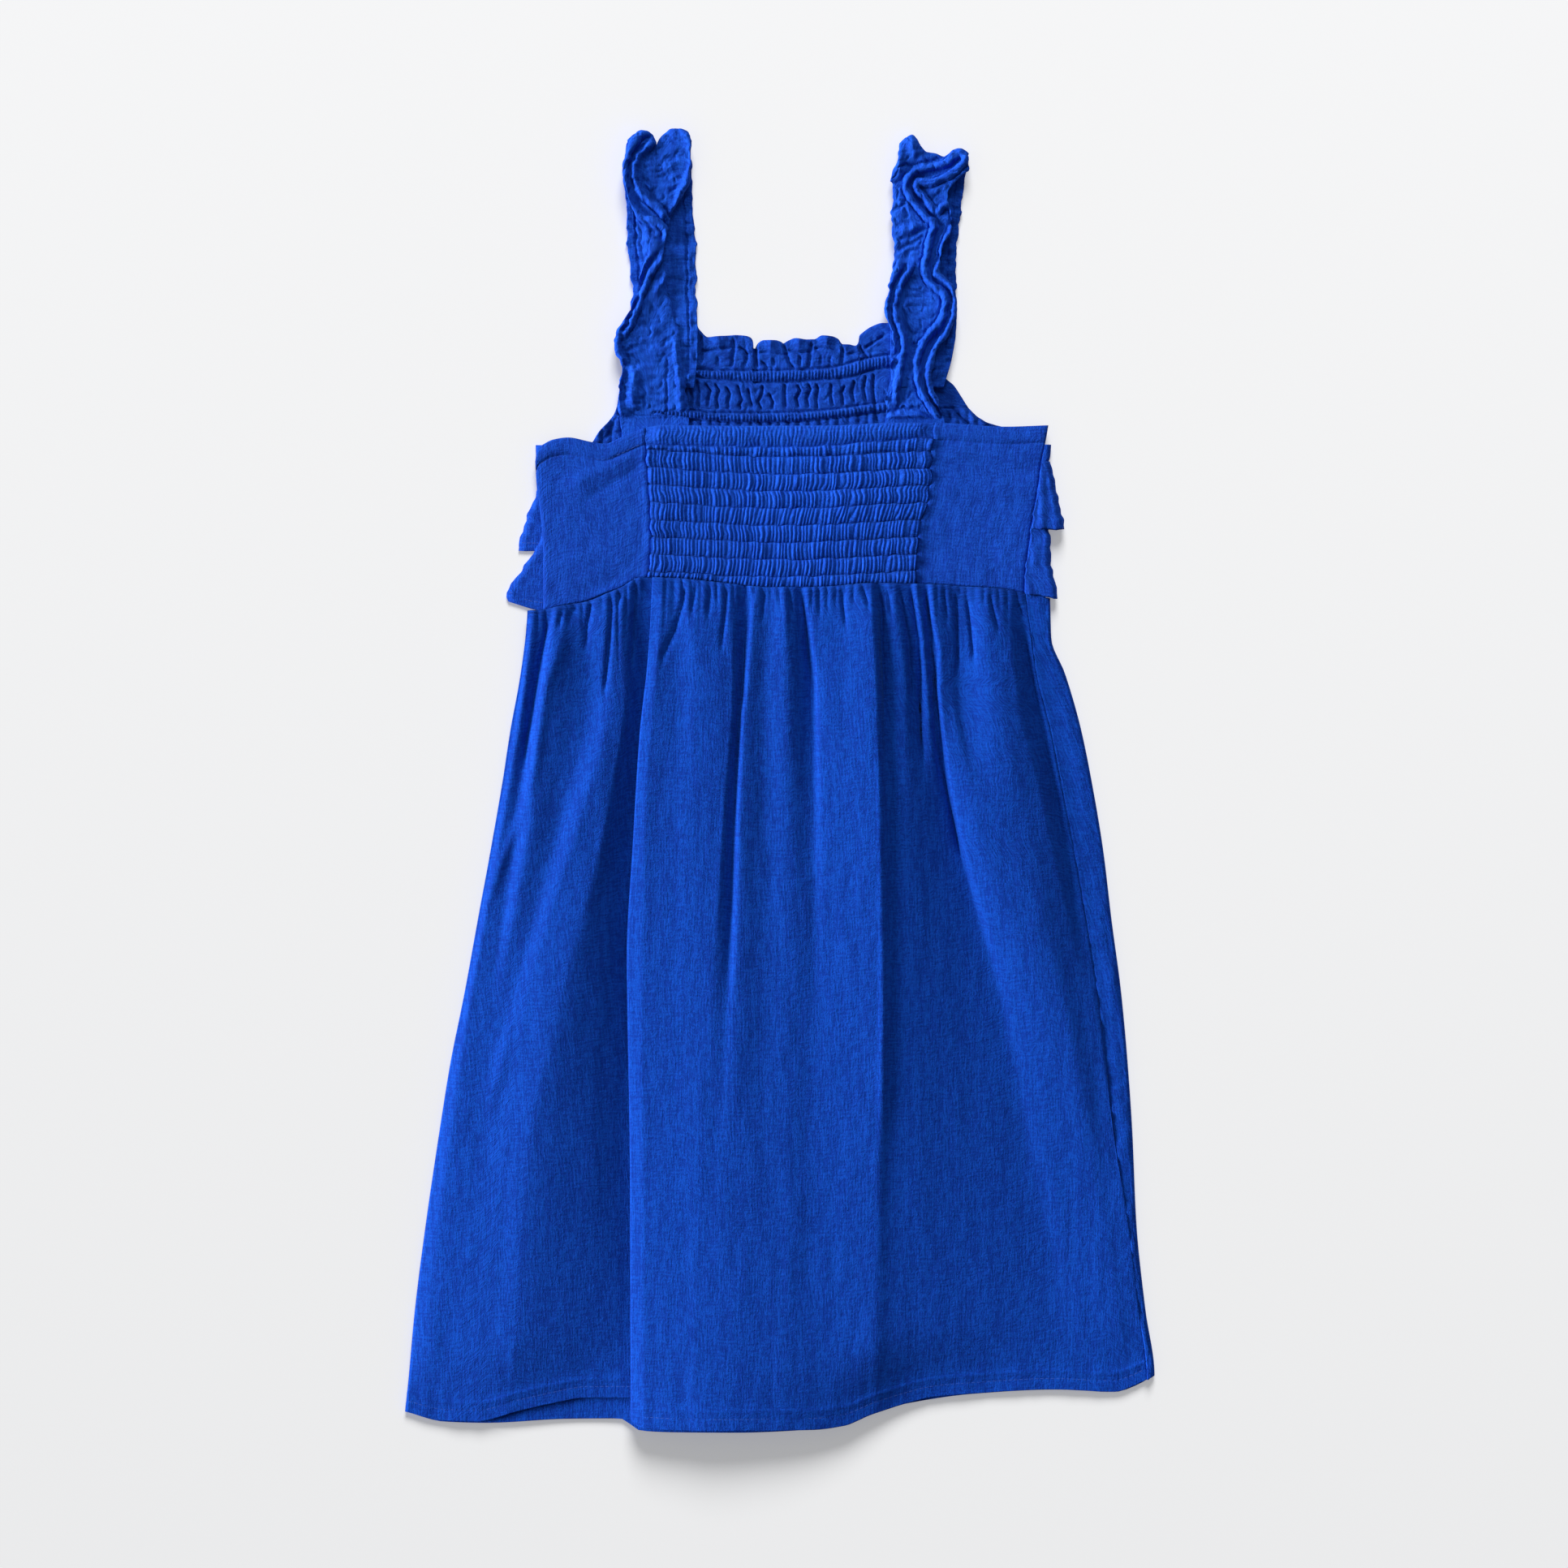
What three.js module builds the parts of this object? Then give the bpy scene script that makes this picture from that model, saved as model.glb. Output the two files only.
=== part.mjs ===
// Child's smocked dress in blue double gauze, laid flat on its front with the back up.
// Millimetres. +Z is up, z = 0 is the surface it lies on, +Y points to the straps.
import * as THREE from "three";

// Cloth and seams
const CLOTH = 1.0;
const STRAP_CLOTH = 1.2;
const SEAM_GAP = 0.3;
const PANEL_GAP = 0.4;
const WAIST_GAP = 0.55;
const HEM_RAISE = 0.4;

// Heights of the middle of each layer over the surface
const BACK_BODICE_BOTTOM = 4.4;
const BACK_LEVEL_WAIST = 4.9;
const BACK_LEVEL_SKIRT = 2.3;
const BACK_SETTLE = 60;
const FRONT_LEVEL_WAIST = 3.5;
const FRONT_LEVEL_SKIRT = 0.5;
const FRONT_SETTLE = 42;
const FRILL_LEVEL = 0.5;
const FRILL_TUCKED_LEVEL = 2.0;
const FRILL_TOP_LEVEL = 6.4;
const FRILL_TOP_FLARE = 1.7;

// Smocking
const SHIRR_GATHERS = 44;
const SHIRR_PUFF = 1.3;
const SHIRR_GROOVE = 0.35;
const YOKE_ZIGZAGS = 30;
const YOKE_RIDGE = 0.8;
const NECK_WAVE = 0.9;

// Fullness of the skirt
const WAIST_GATHER = 0.7;
const WAIST_GATHER_REACH = 34;
const WAIST_DRAW = 0.6;
const COLUMN_PITCH = 5.2;
const PLEAT_LAYER = 1.7;

const BLUE = new THREE.Color(0.055, 0.2, 0.62);

function table(columns, rows) {
  const names = columns.split(" ");
  return rows.map((row) => Object.fromEntries(names.map((name, i) => [name, row[i]])));
}

// Side lines of the skirt: left edge, side seam that lies on top, and fold of the front panel
const SKIRT_SIDES = table("y left seam fold", [
  [115, -141.5, 138.0, 152.6],
  [98, -142.6, 139.8, 153.0],
  [80, -144.0, 142.4, 153.6],
  [60, -146.7, 145.1, 161.5],
  [30, -152.3, 152.7, 170.2],
  [0, -156.9, 158.7, 176.4],
  [-40, -163.8, 166.5, 183.1],
  [-80, -171.1, 173.4, 187.9],
  [-120, -178.3, 179.4, 193.2],
  [-160, -186.3, 184.2, 196.9],
  [-200, -192.7, 188.8, 199.6],
  [-250, -200.1, 196.9, 201.8],
  [-300, -206.5, 203.2, 207.0],
  [-335, -209.8, 207.8, 212.1],
  [-360, -212.5, 208.2, 212.5],
]);

const WAIST_SEAM = table("x y", [
  [-143, 95.8], [-134, 96.1], [-120, 98.9], [-108.6, 101.2], [-99.4, 104.9], [-90.2, 108.6],
  [-78.7, 114.6], [-60, 114.1], [-28, 110.9], [-5, 109], [18, 109], [55, 111.3],
  [78, 110.9], [110, 109], [124, 108.1], [138, 105.8], [153, 102.6],
]);

// The front's waist seam, hidden but for its right end
const FRONT_WAIST_SEAM = table("x y", [
  [-143, 95.8], [-134, 96.1], [-100, 101.5], [-50, 107], [0, 109], [78, 109.5], [124, 108.1],
  [138, 105.8], [153, 102.6],
]);

const HEM_LEFT_OF_PLEAT = table("x y", [
  [-212.5, -357.4], [-189, -362.5], [-170.7, -362.9], [-148, -357], [-125, -351.9],
  [-111, -349.6], [-60, -349.6],
]);

const HEM_RIGHT_OF_PLEAT = table("x y", [
  [-90, -360], [-81, -365.2], [-51, -366.2], [18, -366.2], [36, -364.3], [52, -358.3],
  [69, -353.3], [87, -349.1], [110, -347.3], [156, -345], [190, -346.4], [202, -342.7],
  [213, -336.3],
]);

const FRONT_HEM = table("x y", [
  [-212.5, -357.4], [-189, -363.4], [-166, -364], [-120, -361.8], [-90, -361.6], [-78, -368.2],
  [-60, -368.9], [-25, -368.9], [15, -367.6], [36, -364.6], [52, -358.6], [69, -353.6],
  [110, -347.6], [156, -345.3], [190, -346.6], [202, -342.9], [213, -336.5],
]);

// Crests and troughs of the back skirt from left to right: x at six heights down the skirt,
// and how far the cloth rises over its level at four of them
const FOLD_HEIGHTS = { waist: 108, upper: 50, middle: -18, low: -133, deep: -248, hem: -352 };
const RISE_HEIGHTS = { waistRise: 108, upperRise: 50, lowRise: -133, hemRise: -352 };
const FOLD_COLUMNS = "name waist upper middle low deep hem waistRise upperRise lowRise hemRise";
const FOLDS_LEFT = table(FOLD_COLUMNS, [
  ["strip trough", -131, -138, -151, -174, -195, -206, 0.4, 0.2, 0.8, 0.9],
  ["side crest", -119, -131.6, -145.4, -166, -190, -200, 2.6, 2.8, 1.9, 1.8],
  ["side trough", -112, -123, -136, -159, -185, -192, 0.6, 1.2, 3.0, 2.8],
  ["left crest", -102, -113, -125, -149, -176, -178, 2.4, 3.8, 4.6, 4.0],
  ["pleat trough", -80, -85, -92, -97, -96, -95, 0.8, 0.4, 0.0, 0.0],
]);
const FOLDS_RIGHT = table(FOLD_COLUMNS, [
  ["pleat crest", -64, -67, -72, -78, -76, -75, 3.4, 3.8, 4.3, 4.3],
  ["pleat dip", -50, -54, -56, -57, -58, -56, 1.8, 2.8, 3.7, 3.9],
  ["centre left crest", -34, -37, -40, -42, -40, -38, 3.2, 4.1, 4.6, 4.6],
  ["second trough", -17, -21, -25, -29, -22, -18, 0.6, 0.9, 3.7, 4.1],
  ["centre crest", -8, -13, -17, -18, -12, -8, 3.6, 4.4, 4.3, 4.4],
  ["third trough", 12, 16.6, 19, 14, 12, 10, 1.0, 2.0, 3.7, 4.1],
  ["centre right crest", 29, 34, 38, 38, 36, 34, 3.2, 4.0, 4.5, 4.7],
  ["ridge dip", 41, 45, 48, 48, 46, 44, 1.4, 3.4, 4.5, 4.6],
  ["long ridge", 53, 55.5, 57.5, 58.5, 55, 52, 3.6, 4.7, 5.0, 4.8],
  ["fan trough", 64, 70, 77, 88, 98, 105, 1.0, 1.4, 2.3, 2.2],
  ["fan crest", 73, 79, 86, 99, 114, 128, 3.2, 3.0, 1.4, 1.0],
  ["diagonal trough", 82, 87.5, 97, 121.5, 149, 176, 0.6, 0.0, 0.0, 0.0],
  ["diagonal crest", 92, 97, 108, 135, 164, 187, 3.2, 3.9, 3.4, 1.5],
  ["side dip", 102, 111, 124, 150, 175, 194, 1.0, 2.6, 3.0, 1.3],
  ["side swell", 115, 126, 139, 163, 184, 200, 2.8, 3.2, 2.5, 1.0],
  ["seam trough", 134.5, 141, 153.5, 177, 192.5, 205, 0.5, 0.2, 0.7, 0.4],
]);
const EDGE_RISE = 0.2;
const SEAM_RISE = 0.7;
const SEAM_RISE_REACH = 25;

// Fold edge of the one deep pleat and how far the cloth laps under it
const PLEAT = table("y edge lap", [
  [115, -71.6, 0.4],
  [67, -72.8, 0.8],
  [23, -78.6, 2.0],
  [-36, -82.0, 5.0],
  [-101, -85.5, 9.0],
  [-133, -86.5, 11.0],
  [-225, -85.2, 14.0],
  [-360, -84.6, 16.0],
]);

// Broad lobes where both layers of the skirt stand clear of the surface
const LOBES = table("name waistX hemX reach waistRise middleRise hemRise", [
  ["left", -105, -160, 52, 0.0, 1.4, 1.6],
  ["centre", -12, -17, 98, 0.0, 3.2, 4.6],
  ["right", 105, 170, 48, 0.0, 1.6, 0.2],
]);

// Back bodice
const BACK_TOP_EDGE = table("x y", [
  [-139, 180], [-137.6, 186.5], [-133, 190.4], [-128, 192.6], [-120, 193.7], [-106, 191], [-99.4, 190.2],
  [-90, 193.7], [-76, 199.2], [-65, 200.6], [-28, 200.2], [30, 200.4], [64, 201.9],
  [88, 201.9], [128, 199.8], [152, 200.6],
]);
const BODICE_LINES = table("y left shirrLeft shirrRight right", [
  [201, -139.0, -76.4, 87.2, 151.9],
  [190, -138.8, -76.4, 86.6, 150.0],
  [180, -138.4, -75.4, 85.4, 147.9],
  [166, -137.6, -74.1, 84.4, 146.0],
  [148, -135.2, -73.6, 80.6, 143.0],
  [125, -133.9, -72.9, 76.6, 139.8],
  [112, -133.9, -76.0, 75.9, 138.4],
  [95, -134.0, -79.0, 75.9, 138.0],
]);
const TOP_HEM = 9.5;
const ELASTIC_PITCH = 9.9;
const ELASTIC_ROWS = 8;
const FIRST_ELASTIC = 11.5;

// Front bodice and the yoke above it
const YOKE_FOOT = 190;
const YOKE_SIDES = table("y left right", [
  [254, -84.0, 91.0],
  [240, -87.0, 92.5],
  [228, -88.5, 93.8],
  [223.6, -90.5, 98.4],
  [216.7, -91.5, 103.0],
  [209.8, -92.8, 107.6],
  [203, -97.0, 116.0],
  [198, -101.7, 132.0],
  [190, -107.0, 146.0],
]);
const YOKE_TOP = table("x y", [
  [-84, 250], [-50, 254.5], [-44, 251.5], [-28, 251.5], [-16, 249.4], [-12, 244.6], [-8, 248.8],
  [8, 248.2], [24, 251], [37, 247], [44, 246], [50, 253], [60, 258], [91, 250],
]);
// Rows of the yoke: height over the foot, how far the cloth stands out, share of the neck
// waves, sideways step of the zigzag, and depth of the gathers
const YOKE_ROWS = table("y rise wave step gather", [
  [254, 0.3, 1.0, 0.0, 0.0],
  [248, 0.5, 0.8, 0.0, 0.0],
  [241, 0.35, 0.5, 0.0, 0.2],
  [235.2, 0.1, 0.1, 0.0, 0.1],
  [232.6, 0.9, 0.0, 0.0, 0.15],
  [231, 0.25, 0.0, 0.0, 0.1],
  [229, 0.9, 0.0, 0.0, 0.15],
  [226.8, 0.1, 0.0, 0.0, 0.2],
  [223.5, 0.1, 0.0, 1.1, 0.8],
  [218, 0.1, 0.0, -1.1, 0.8],
  [212.5, 0.1, 0.0, 1.1, 0.8],
  [209, 0.1, 0.0, 0.0, 0.3],
  [206.9, 0.8, 0.0, 0.0, 0.15],
  [204.6, 0.2, 0.0, 0.0, 0.2],
  [200, 0.1, 0.0, 0.0, 0.6],
  [190, 0.1, 0.0, 0.0, 0.2],
]);
const FRONT_FOLD = table("y x", [[190, 153.6], [183, 152.3], [178, 150.8], [172, 150.4], [100, 150.4]]);
const BODICE_STEP_FOOT = 169;

// Frills caught in the side seams: free left edge, and the fold round the right side
const UPPER_FRILL = table("y left fold", [
  [180, -136.0, 153.0],
  [175, -136.4, 154.4],
  [166, -137.2, 156.0],
  [157, -140.0, 157.9],
  [150, -143.0, 159.8],
  [143, -145.4, 160.5],
  [136, -147.2, 160.0],
  [129, -148.6, 159.4],
]);
const LOWER_FRILL = table("y left fold", [
  [146, -132.5, 152.4],
  [131, -138.5, 152.8],
  [122.4, -144.0, 153.8],
  [116.4, -147.7, 154.8],
  [110, -153.4, 156.0],
  [104, -155.5, 156.5],
  [96, -150.0, 156.4],
]);
const UPPER_FRILL_TURN = 142;
const LOWER_FRILL_TUCK = 122;
const UPPER_FRILL_HEM = table("x y", [[-149, 130.2], [-134, 129.6], [0, 134], [142, 142], [160, 141.7]]);
const LOWER_FRILL_HEM = table("x y", [
  [-156, 104.6], [-152.5, 101.2], [-148, 99.2], [-134, 96.2], [0, 98], [138, 104.9], [157, 102.6],
]);

// Straps from their front end, over the shoulder fold, to their back end: sides of each
// section, where its two sides lie along the dress, and the heights of its middle and sides
const STRAP_COLUMNS = "left leftY right rightY leftZ midZ rightZ";
const STRAP_LEFT = table(STRAP_COLUMNS, [
  [-83.0, 222, -48.5, 222, 2.9, 2.9, 2.9],
  [-85.0, 240, -46.6, 240, 2.9, 2.9, 2.9],
  [-85.5, 257, -46.4, 257, 2.9, 2.9, 2.9],
  [-84.0, 277, -47.0, 277, 0.7, 0.6, 0.6],
  [-86.0, 300, -47.6, 300, 0.6, 0.6, 0.6],
  [-87.0, 323, -49.2, 323, 0.6, 0.6, 0.6],
  [-89.5, 345, -49.4, 345, 0.6, 0.6, 0.6],
  [-87.6, 359, -51.0, 359, 0.8, 0.7, 0.8],
  [-86.0, 365.2, -52.6, 366.0, 1.8, 1.7, 1.9],
  [-85.8, 367.4, -52.4, 368.2, 3.2, 2.9, 3.3],
  [-85.8, 366.8, -52.2, 367.6, 5.0, 4.2, 5.2],
  [-87.0, 361.5, -50.6, 362.6, 6.6, 5.2, 6.6],
  [-89.8, 351, -50.2, 351, 6.8, 5.6, 6.2],
  [-88.4, 339, -50.6, 339, 6.6, 5.6, 5.6],
  [-86.4, 330, -56.2, 328, 6.2, 6.0, 5.2],
  [-82.6, 320.5, -61.6, 319, 5.6, 6.4, 5.0],
  [-78.0, 309, -63.6, 309, 5.2, 6.6, 5.0],
  [-77.6, 296, -66.0, 296, 4.8, 6.4, 4.8],
  [-79.6, 282, -63.6, 282, 4.6, 5.6, 4.6],
  [-84.0, 268, -61.0, 268, 4.8, 5.2, 4.8],
  [-92.0, 254, -57.0, 254, 5.4, 5.2, 5.2],
  [-94.2, 244.5, -55.8, 244.5, 5.6, 5.2, 5.2],
  [-89.4, 233, -54.6, 233, 5.4, 5.2, 5.2],
  [-91.0, 219, -53.2, 219, 5.0, 5.0, 5.0],
  [-90.8, 208, -51.8, 208, 3.7, 3.7, 3.7],
  [-90.4, 202.5, -51.4, 202.5, 3.1, 3.1, 3.1],
  [-90.0, 187, -51.2, 190, 3.1, 3.1, 3.1],
]);
const STRAP_RIGHT = table(STRAP_COLUMNS, [
  [63.0, 222, 92.6, 222, 2.9, 2.9, 2.9],
  [62.6, 240, 97.6, 240, 2.9, 2.9, 2.9],
  [62.4, 258, 100.0, 258, 2.9, 2.9, 2.9],
  [63.0, 281, 99.6, 281, 0.6, 0.6, 0.7],
  [65.0, 304, 100.6, 304, 0.6, 0.6, 0.6],
  [65.0, 323, 103.0, 323, 0.6, 0.6, 0.6],
  [65.6, 338, 104.2, 338, 0.6, 0.6, 0.6],
  [67.0, 351, 105.4, 350, 0.7, 0.7, 0.8],
  [68.0, 360.2, 105.4, 355.2, 1.7, 1.6, 1.8],
  [68.4, 362.3, 105.8, 357.1, 3.1, 2.8, 3.3],
  [68.2, 361.8, 106.2, 356.8, 4.8, 4.1, 5.3],
  [66.8, 357.0, 107.0, 352.6, 6.2, 5.0, 7.0],
  [62.8, 347, 106.4, 346.5, 5.4, 4.4, 7.6],
  [64.0, 338, 101.4, 340.5, 4.8, 4.2, 7.2],
  [63.6, 329.5, 95.0, 332, 4.6, 4.4, 6.6],
  [62.6, 320, 96.4, 322.5, 4.8, 4.8, 6.2],
  [63.4, 309, 97.4, 313, 5.0, 5.0, 6.0],
  [64.4, 298, 92.0, 300, 5.2, 5.2, 5.8],
  [63.2, 288, 90.4, 289, 5.4, 5.2, 5.6],
  [61.4, 276.5, 98.4, 276.5, 5.6, 5.0, 6.0],
  [59.4, 265, 99.2, 265, 5.6, 5.0, 6.0],
  [62.6, 253.5, 97.0, 253.5, 5.6, 5.0, 6.0],
  [64.0, 242, 88.8, 242, 5.6, 5.2, 5.8],
  [62.8, 228, 85.8, 228, 5.4, 5.2, 5.6],
  [60.4, 217, 88.4, 217, 4.8, 4.8, 5.0],
  [59.4, 208, 92.0, 208, 3.7, 3.7, 3.7],
  [59.0, 202.5, 94.0, 202.5, 3.1, 3.1, 3.1],
  [59.0, 192, 94.0, 192, 3.1, 3.1, 3.1],
]);
const STRAP_FOLD_ROW = 11;
const STRAP_TAIL_ROWS = 2;
const STRAP_CRINKLE = 0.35;
// Height of the strap's outer face across its width: frill, gather line, crinkled middle
const STRAP_PROFILE = table("across rise", [
  [0, 0.2], [0.09, 1.3], [0.2, 0.1], [0.34, 0.8], [0.5, 0.5], [0.66, 0.8], [0.8, 0.1], [0.91, 1.2], [1, 0.2],
]);

// Smooth curve through one column of a table against another, without overshoot
function follow(rows, along, column, at) {
  const forward = rows[rows.length - 1][along] > rows[0][along];
  const list = forward ? rows : [...rows].reverse();
  const last = list.length - 1;
  if (at <= list[0][along]) {
    return list[0][column];
  }
  if (at >= list[last][along]) {
    return list[last][column];
  }
  let k = 0;
  while (at > list[k + 1][along]) {
    k += 1;
  }
  const slope = (i) => (list[i + 1][column] - list[i][column]) / (list[i + 1][along] - list[i][along]);
  const tangent = (i) => {
    if (i === 0 || i === last) {
      return slope(Math.min(i, last - 1));
    }
    const before = slope(i - 1);
    const after = slope(i);
    return before * after <= 0 ? 0 : (2 * before * after) / (before + after);
  };
  const span = list[k + 1][along] - list[k][along];
  const s = (at - list[k][along]) / span;
  const a = list[k][column];
  const b = list[k + 1][column];
  const swing = tangent(k) * span * (s - 2 * s * s + s * s * s);
  const settle = tangent(k + 1) * span * (s * s * s - s * s);
  return a + (b - a) * s * s * (3 - 2 * s) + swing + settle;
}

function mix(a, b, share) {
  return a + (b - a) * share;
}

function ease(value) {
  const s = Math.min(1, Math.max(0, value));
  return s * s * (3 - 2 * s);
}

function waistY(x) {
  return follow(WAIST_SEAM, "x", "y", x);
}

function frontWaistY(x) {
  return follow(FRONT_WAIST_SEAM, "x", "y", x);
}

function side(line, y) {
  return follow(SKIRT_SIDES, "y", line, y);
}

// Height that the lobes give both layers of the skirt
function lift(x, y) {
  const down = (FOLD_HEIGHTS.waist - y) / (FOLD_HEIGHTS.waist - FOLD_HEIGHTS.hem);
  let height = 0;
  for (const lobe of LOBES) {
    const rise = down < 0.5
      ? mix(lobe.waistRise, lobe.middleRise, ease(down * 2))
      : mix(lobe.middleRise, lobe.hemRise, ease(down * 2 - 1));
    const away = Math.abs(x - mix(lobe.waistX, lobe.hemX, down)) / lobe.reach;
    height += away < 1 ? rise * (0.5 + 0.5 * Math.cos(Math.PI * away)) : 0;
  }
  return height;
}

function backLevel(x, y) {
  const fromWaist = waistY(x) - y;
  return mix(BACK_LEVEL_WAIST, BACK_LEVEL_SKIRT, ease(fromWaist / BACK_SETTLE)) + lift(x, y);
}

function frontLevel(x, y) {
  const fromWaist = waistY(x) - y;
  return mix(FRONT_LEVEL_WAIST, FRONT_LEVEL_SKIRT, ease(fromWaist / FRONT_SETTLE)) + lift(x, y);
}

// The side seam stands a little proud of the panels beside it, less so near the waist
function seamRise(x, y) {
  return SEAM_RISE * ease((waistY(x) - y) / SEAM_RISE_REACH);
}

function closedGeometry(points, triangles) {
  const geometry = new THREE.BufferGeometry();
  const coordinates = points.flatMap((point) => [point.x, point.y, point.z]);
  geometry.setAttribute("position", new THREE.Float32BufferAttribute(coordinates, 3));
  geometry.setIndex(triangles);
  geometry.computeVertexNormals();
  return geometry;
}

// Grid squares as triangles; columns run to +X and rows to -Y when seen from outside
function gridTriangles(rows, columns, index, flip) {
  const triangles = [];
  for (let r = 0; r + 1 < rows; r += 1) {
    for (let c = 0; c + 1 < columns; c += 1) {
      const square = [index(r, c), index(r + 1, c), index(r + 1, c + 1), index(r, c + 1)];
      const [a, b, d, e] = flip ? [...square].reverse() : square;
      triangles.push(a, b, d, a, d, e);
    }
  }
  return triangles;
}

// Outline of the grid, anticlockwise seen from outside
function gridLoop(rows, columns) {
  const loop = [];
  for (let c = 0; c < columns; c += 1) {
    loop.push([rows - 1, c]);
  }
  for (let r = rows - 2; r >= 0; r -= 1) {
    loop.push([r, columns - 1]);
  }
  for (let c = columns - 2; c >= 0; c -= 1) {
    loop.push([0, c]);
  }
  for (let r = 1; r < rows - 1; r += 1) {
    loop.push([r, 0]);
  }
  return loop;
}

function rimTriangles(loop, upper, lower) {
  const triangles = [];
  loop.forEach(([r, c], i) => {
    const [nextR, nextC] = loop[(i + 1) % loop.length];
    triangles.push(lower(r, c), lower(nextR, nextC), upper(nextR, nextC));
    triangles.push(lower(r, c), upper(nextR, nextC), upper(r, c));
  });
  return triangles;
}

// Cloth wall: two skins either side of a grid of middle points, along its normals
function wall(grid, thickness, raise) {
  const rows = grid.length;
  const columns = grid[0].length;
  const outer = [];
  const inner = [];
  for (let r = 0; r < rows; r += 1) {
    for (let c = 0; c < columns; c += 1) {
      const across = grid[r][Math.min(c + 1, columns - 1)].clone().sub(grid[r][Math.max(c - 1, 0)]);
      const down = grid[Math.min(r + 1, rows - 1)][c].clone().sub(grid[Math.max(r - 1, 0)][c]);
      const normal = down.cross(across).normalize();
      outer.push(grid[r][c].clone().addScaledVector(normal, thickness / 2 + raise(r, c)));
      inner.push(grid[r][c].clone().addScaledVector(normal, -thickness / 2));
    }
  }
  const upper = (r, c) => r * columns + c;
  const lower = (r, c) => rows * columns + r * columns + c;
  return closedGeometry([...outer, ...inner], [
    ...gridTriangles(rows, columns, upper, false),
    ...gridTriangles(rows, columns, lower, true),
    ...rimTriangles(gridLoop(rows, columns), upper, lower),
  ]);
}

// Panel whose outer face is worked in relief over a plain underside
function panel(grid, undersideHeight) {
  const rows = grid.length;
  const columns = grid[0].length;
  const points = grid.flat();
  const loop = gridLoop(rows, columns);
  const lowerIndex = new Map();
  for (const [r, c] of loop) {
    lowerIndex.set(`${r} ${c}`, points.length);
    points.push(new THREE.Vector3(grid[r][c].x, grid[r][c].y, undersideHeight));
  }
  const upper = (r, c) => r * columns + c;
  const lower = (r, c) => lowerIndex.get(`${r} ${c}`);
  const outline = loop.map(([r, c]) => new THREE.Vector2(grid[r][c].x, grid[r][c].y));
  const underside = THREE.ShapeUtils.triangulateShape(outline, []).flatMap((corners) => {
    const [a, b, d] = corners.map((i) => outline[i]);
    const turn = (b.x - a.x) * (d.y - a.y) - (b.y - a.y) * (d.x - a.x);
    const ordered = turn > 0 ? [corners[0], corners[2], corners[1]] : corners;
    return ordered.map((i) => lower(...loop[i]));
  });
  return closedGeometry(points, [
    ...gridTriangles(rows, columns, upper, false),
    ...underside,
    ...rimTriangles(loop, upper, lower),
  ]);
}

function cloth(name, geometry, shade) {
  const colour = BLUE.clone().multiplyScalar(shade);
  const material = new THREE.MeshStandardMaterial({ color: colour, roughness: 0.9, metalness: 0 });
  const mesh = new THREE.Mesh(geometry, material);
  mesh.name = name;
  return mesh;
}

// Rows down the skirt, by distance from the waist as a share of its length
const SKIRT_ROWS = [
  0, 0.012, 0.028, 0.05, 0.08, 0.12, 0.17, 0.23, 0.31, 0.4, 0.5, 0.6, 0.7, 0.8, 0.9, 0.974, 0.977, 1,
];
const HEM_ROWS = 2;
const FRONT_SKIRT_ROWS = [
  0, 0.025, 0.05, 0.08, 0.12, 0.17, 0.23, 0.31, 0.4, 0.5, 0.6, 0.7, 0.8, 0.9, 0.975, 1,
];

function foldX(fold, y) {
  const rows = Object.entries(FOLD_HEIGHTS).map(([key, height]) => ({ height, x: fold[key] }));
  return follow(rows, "height", "x", y);
}

function foldRise(fold, y) {
  const rows = Object.entries(RISE_HEIGHTS).map(([key, height]) => ({ height, rise: fold[key] }));
  return follow(rows, "height", "rise", y);
}

// One crest, trough or edge as a pair of functions of y
function foldLine(fold) {
  return { x: (y) => foldX(fold, y), rise: (y) => foldRise(fold, y) };
}

// Columns between neighbouring fold lines, spaced by the pitch at the waist
function columnsBetween(lines) {
  const columns = [];
  for (let i = 0; i + 1 < lines.length; i += 1) {
    const [a, b] = [lines[i], lines[i + 1]];
    const gap = b.x(FOLD_HEIGHTS.waist) - a.x(FOLD_HEIGHTS.waist);
    const steps = Math.max(1, Math.round(gap / COLUMN_PITCH));
    for (let k = 0; k < steps; k += 1) {
      const share = k / steps;
      columns.push({
        x: (y) => mix(a.x(y), b.x(y), share),
        rise: (y) => mix(a.rise(y), b.rise(y), ease(share)),
      });
    }
  }
  columns.push(lines[lines.length - 1]);
  return columns;
}

// The deep pleat in section: under to the end of the lap, back, and over the fold edge
function pleatColumns(hemStart, hemEnd) {
  const radius = PLEAT_LAYER / 2;
  const quarter = Math.PI / 4;
  const turns = [];
  for (let k = -2; k <= 2; k += 1) {
    turns.push({ lapShare: 1, level: 0.5, angle: k * quarter, hemShare: 0.15 + 0.1 * (k + 2) });
  }
  for (let k = -2; k <= 2; k += 1) {
    turns.push({ lapShare: 0, level: 1.5, angle: Math.PI - k * quarter, hemShare: 0.6 + 0.1 * (k + 2) });
  }
  return turns.map((turn) => ({
    x: (y) => {
      const centre = follow(PLEAT, "y", "edge", y) + turn.lapShare * follow(PLEAT, "y", "lap", y);
      return centre + radius * Math.cos(turn.angle);
    },
    rise: () => turn.level * PLEAT_LAYER + radius * Math.sin(turn.angle),
    hem: () => mix(hemStart, hemEnd, turn.hemShare),
    plain: true,
  }));
}

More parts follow.
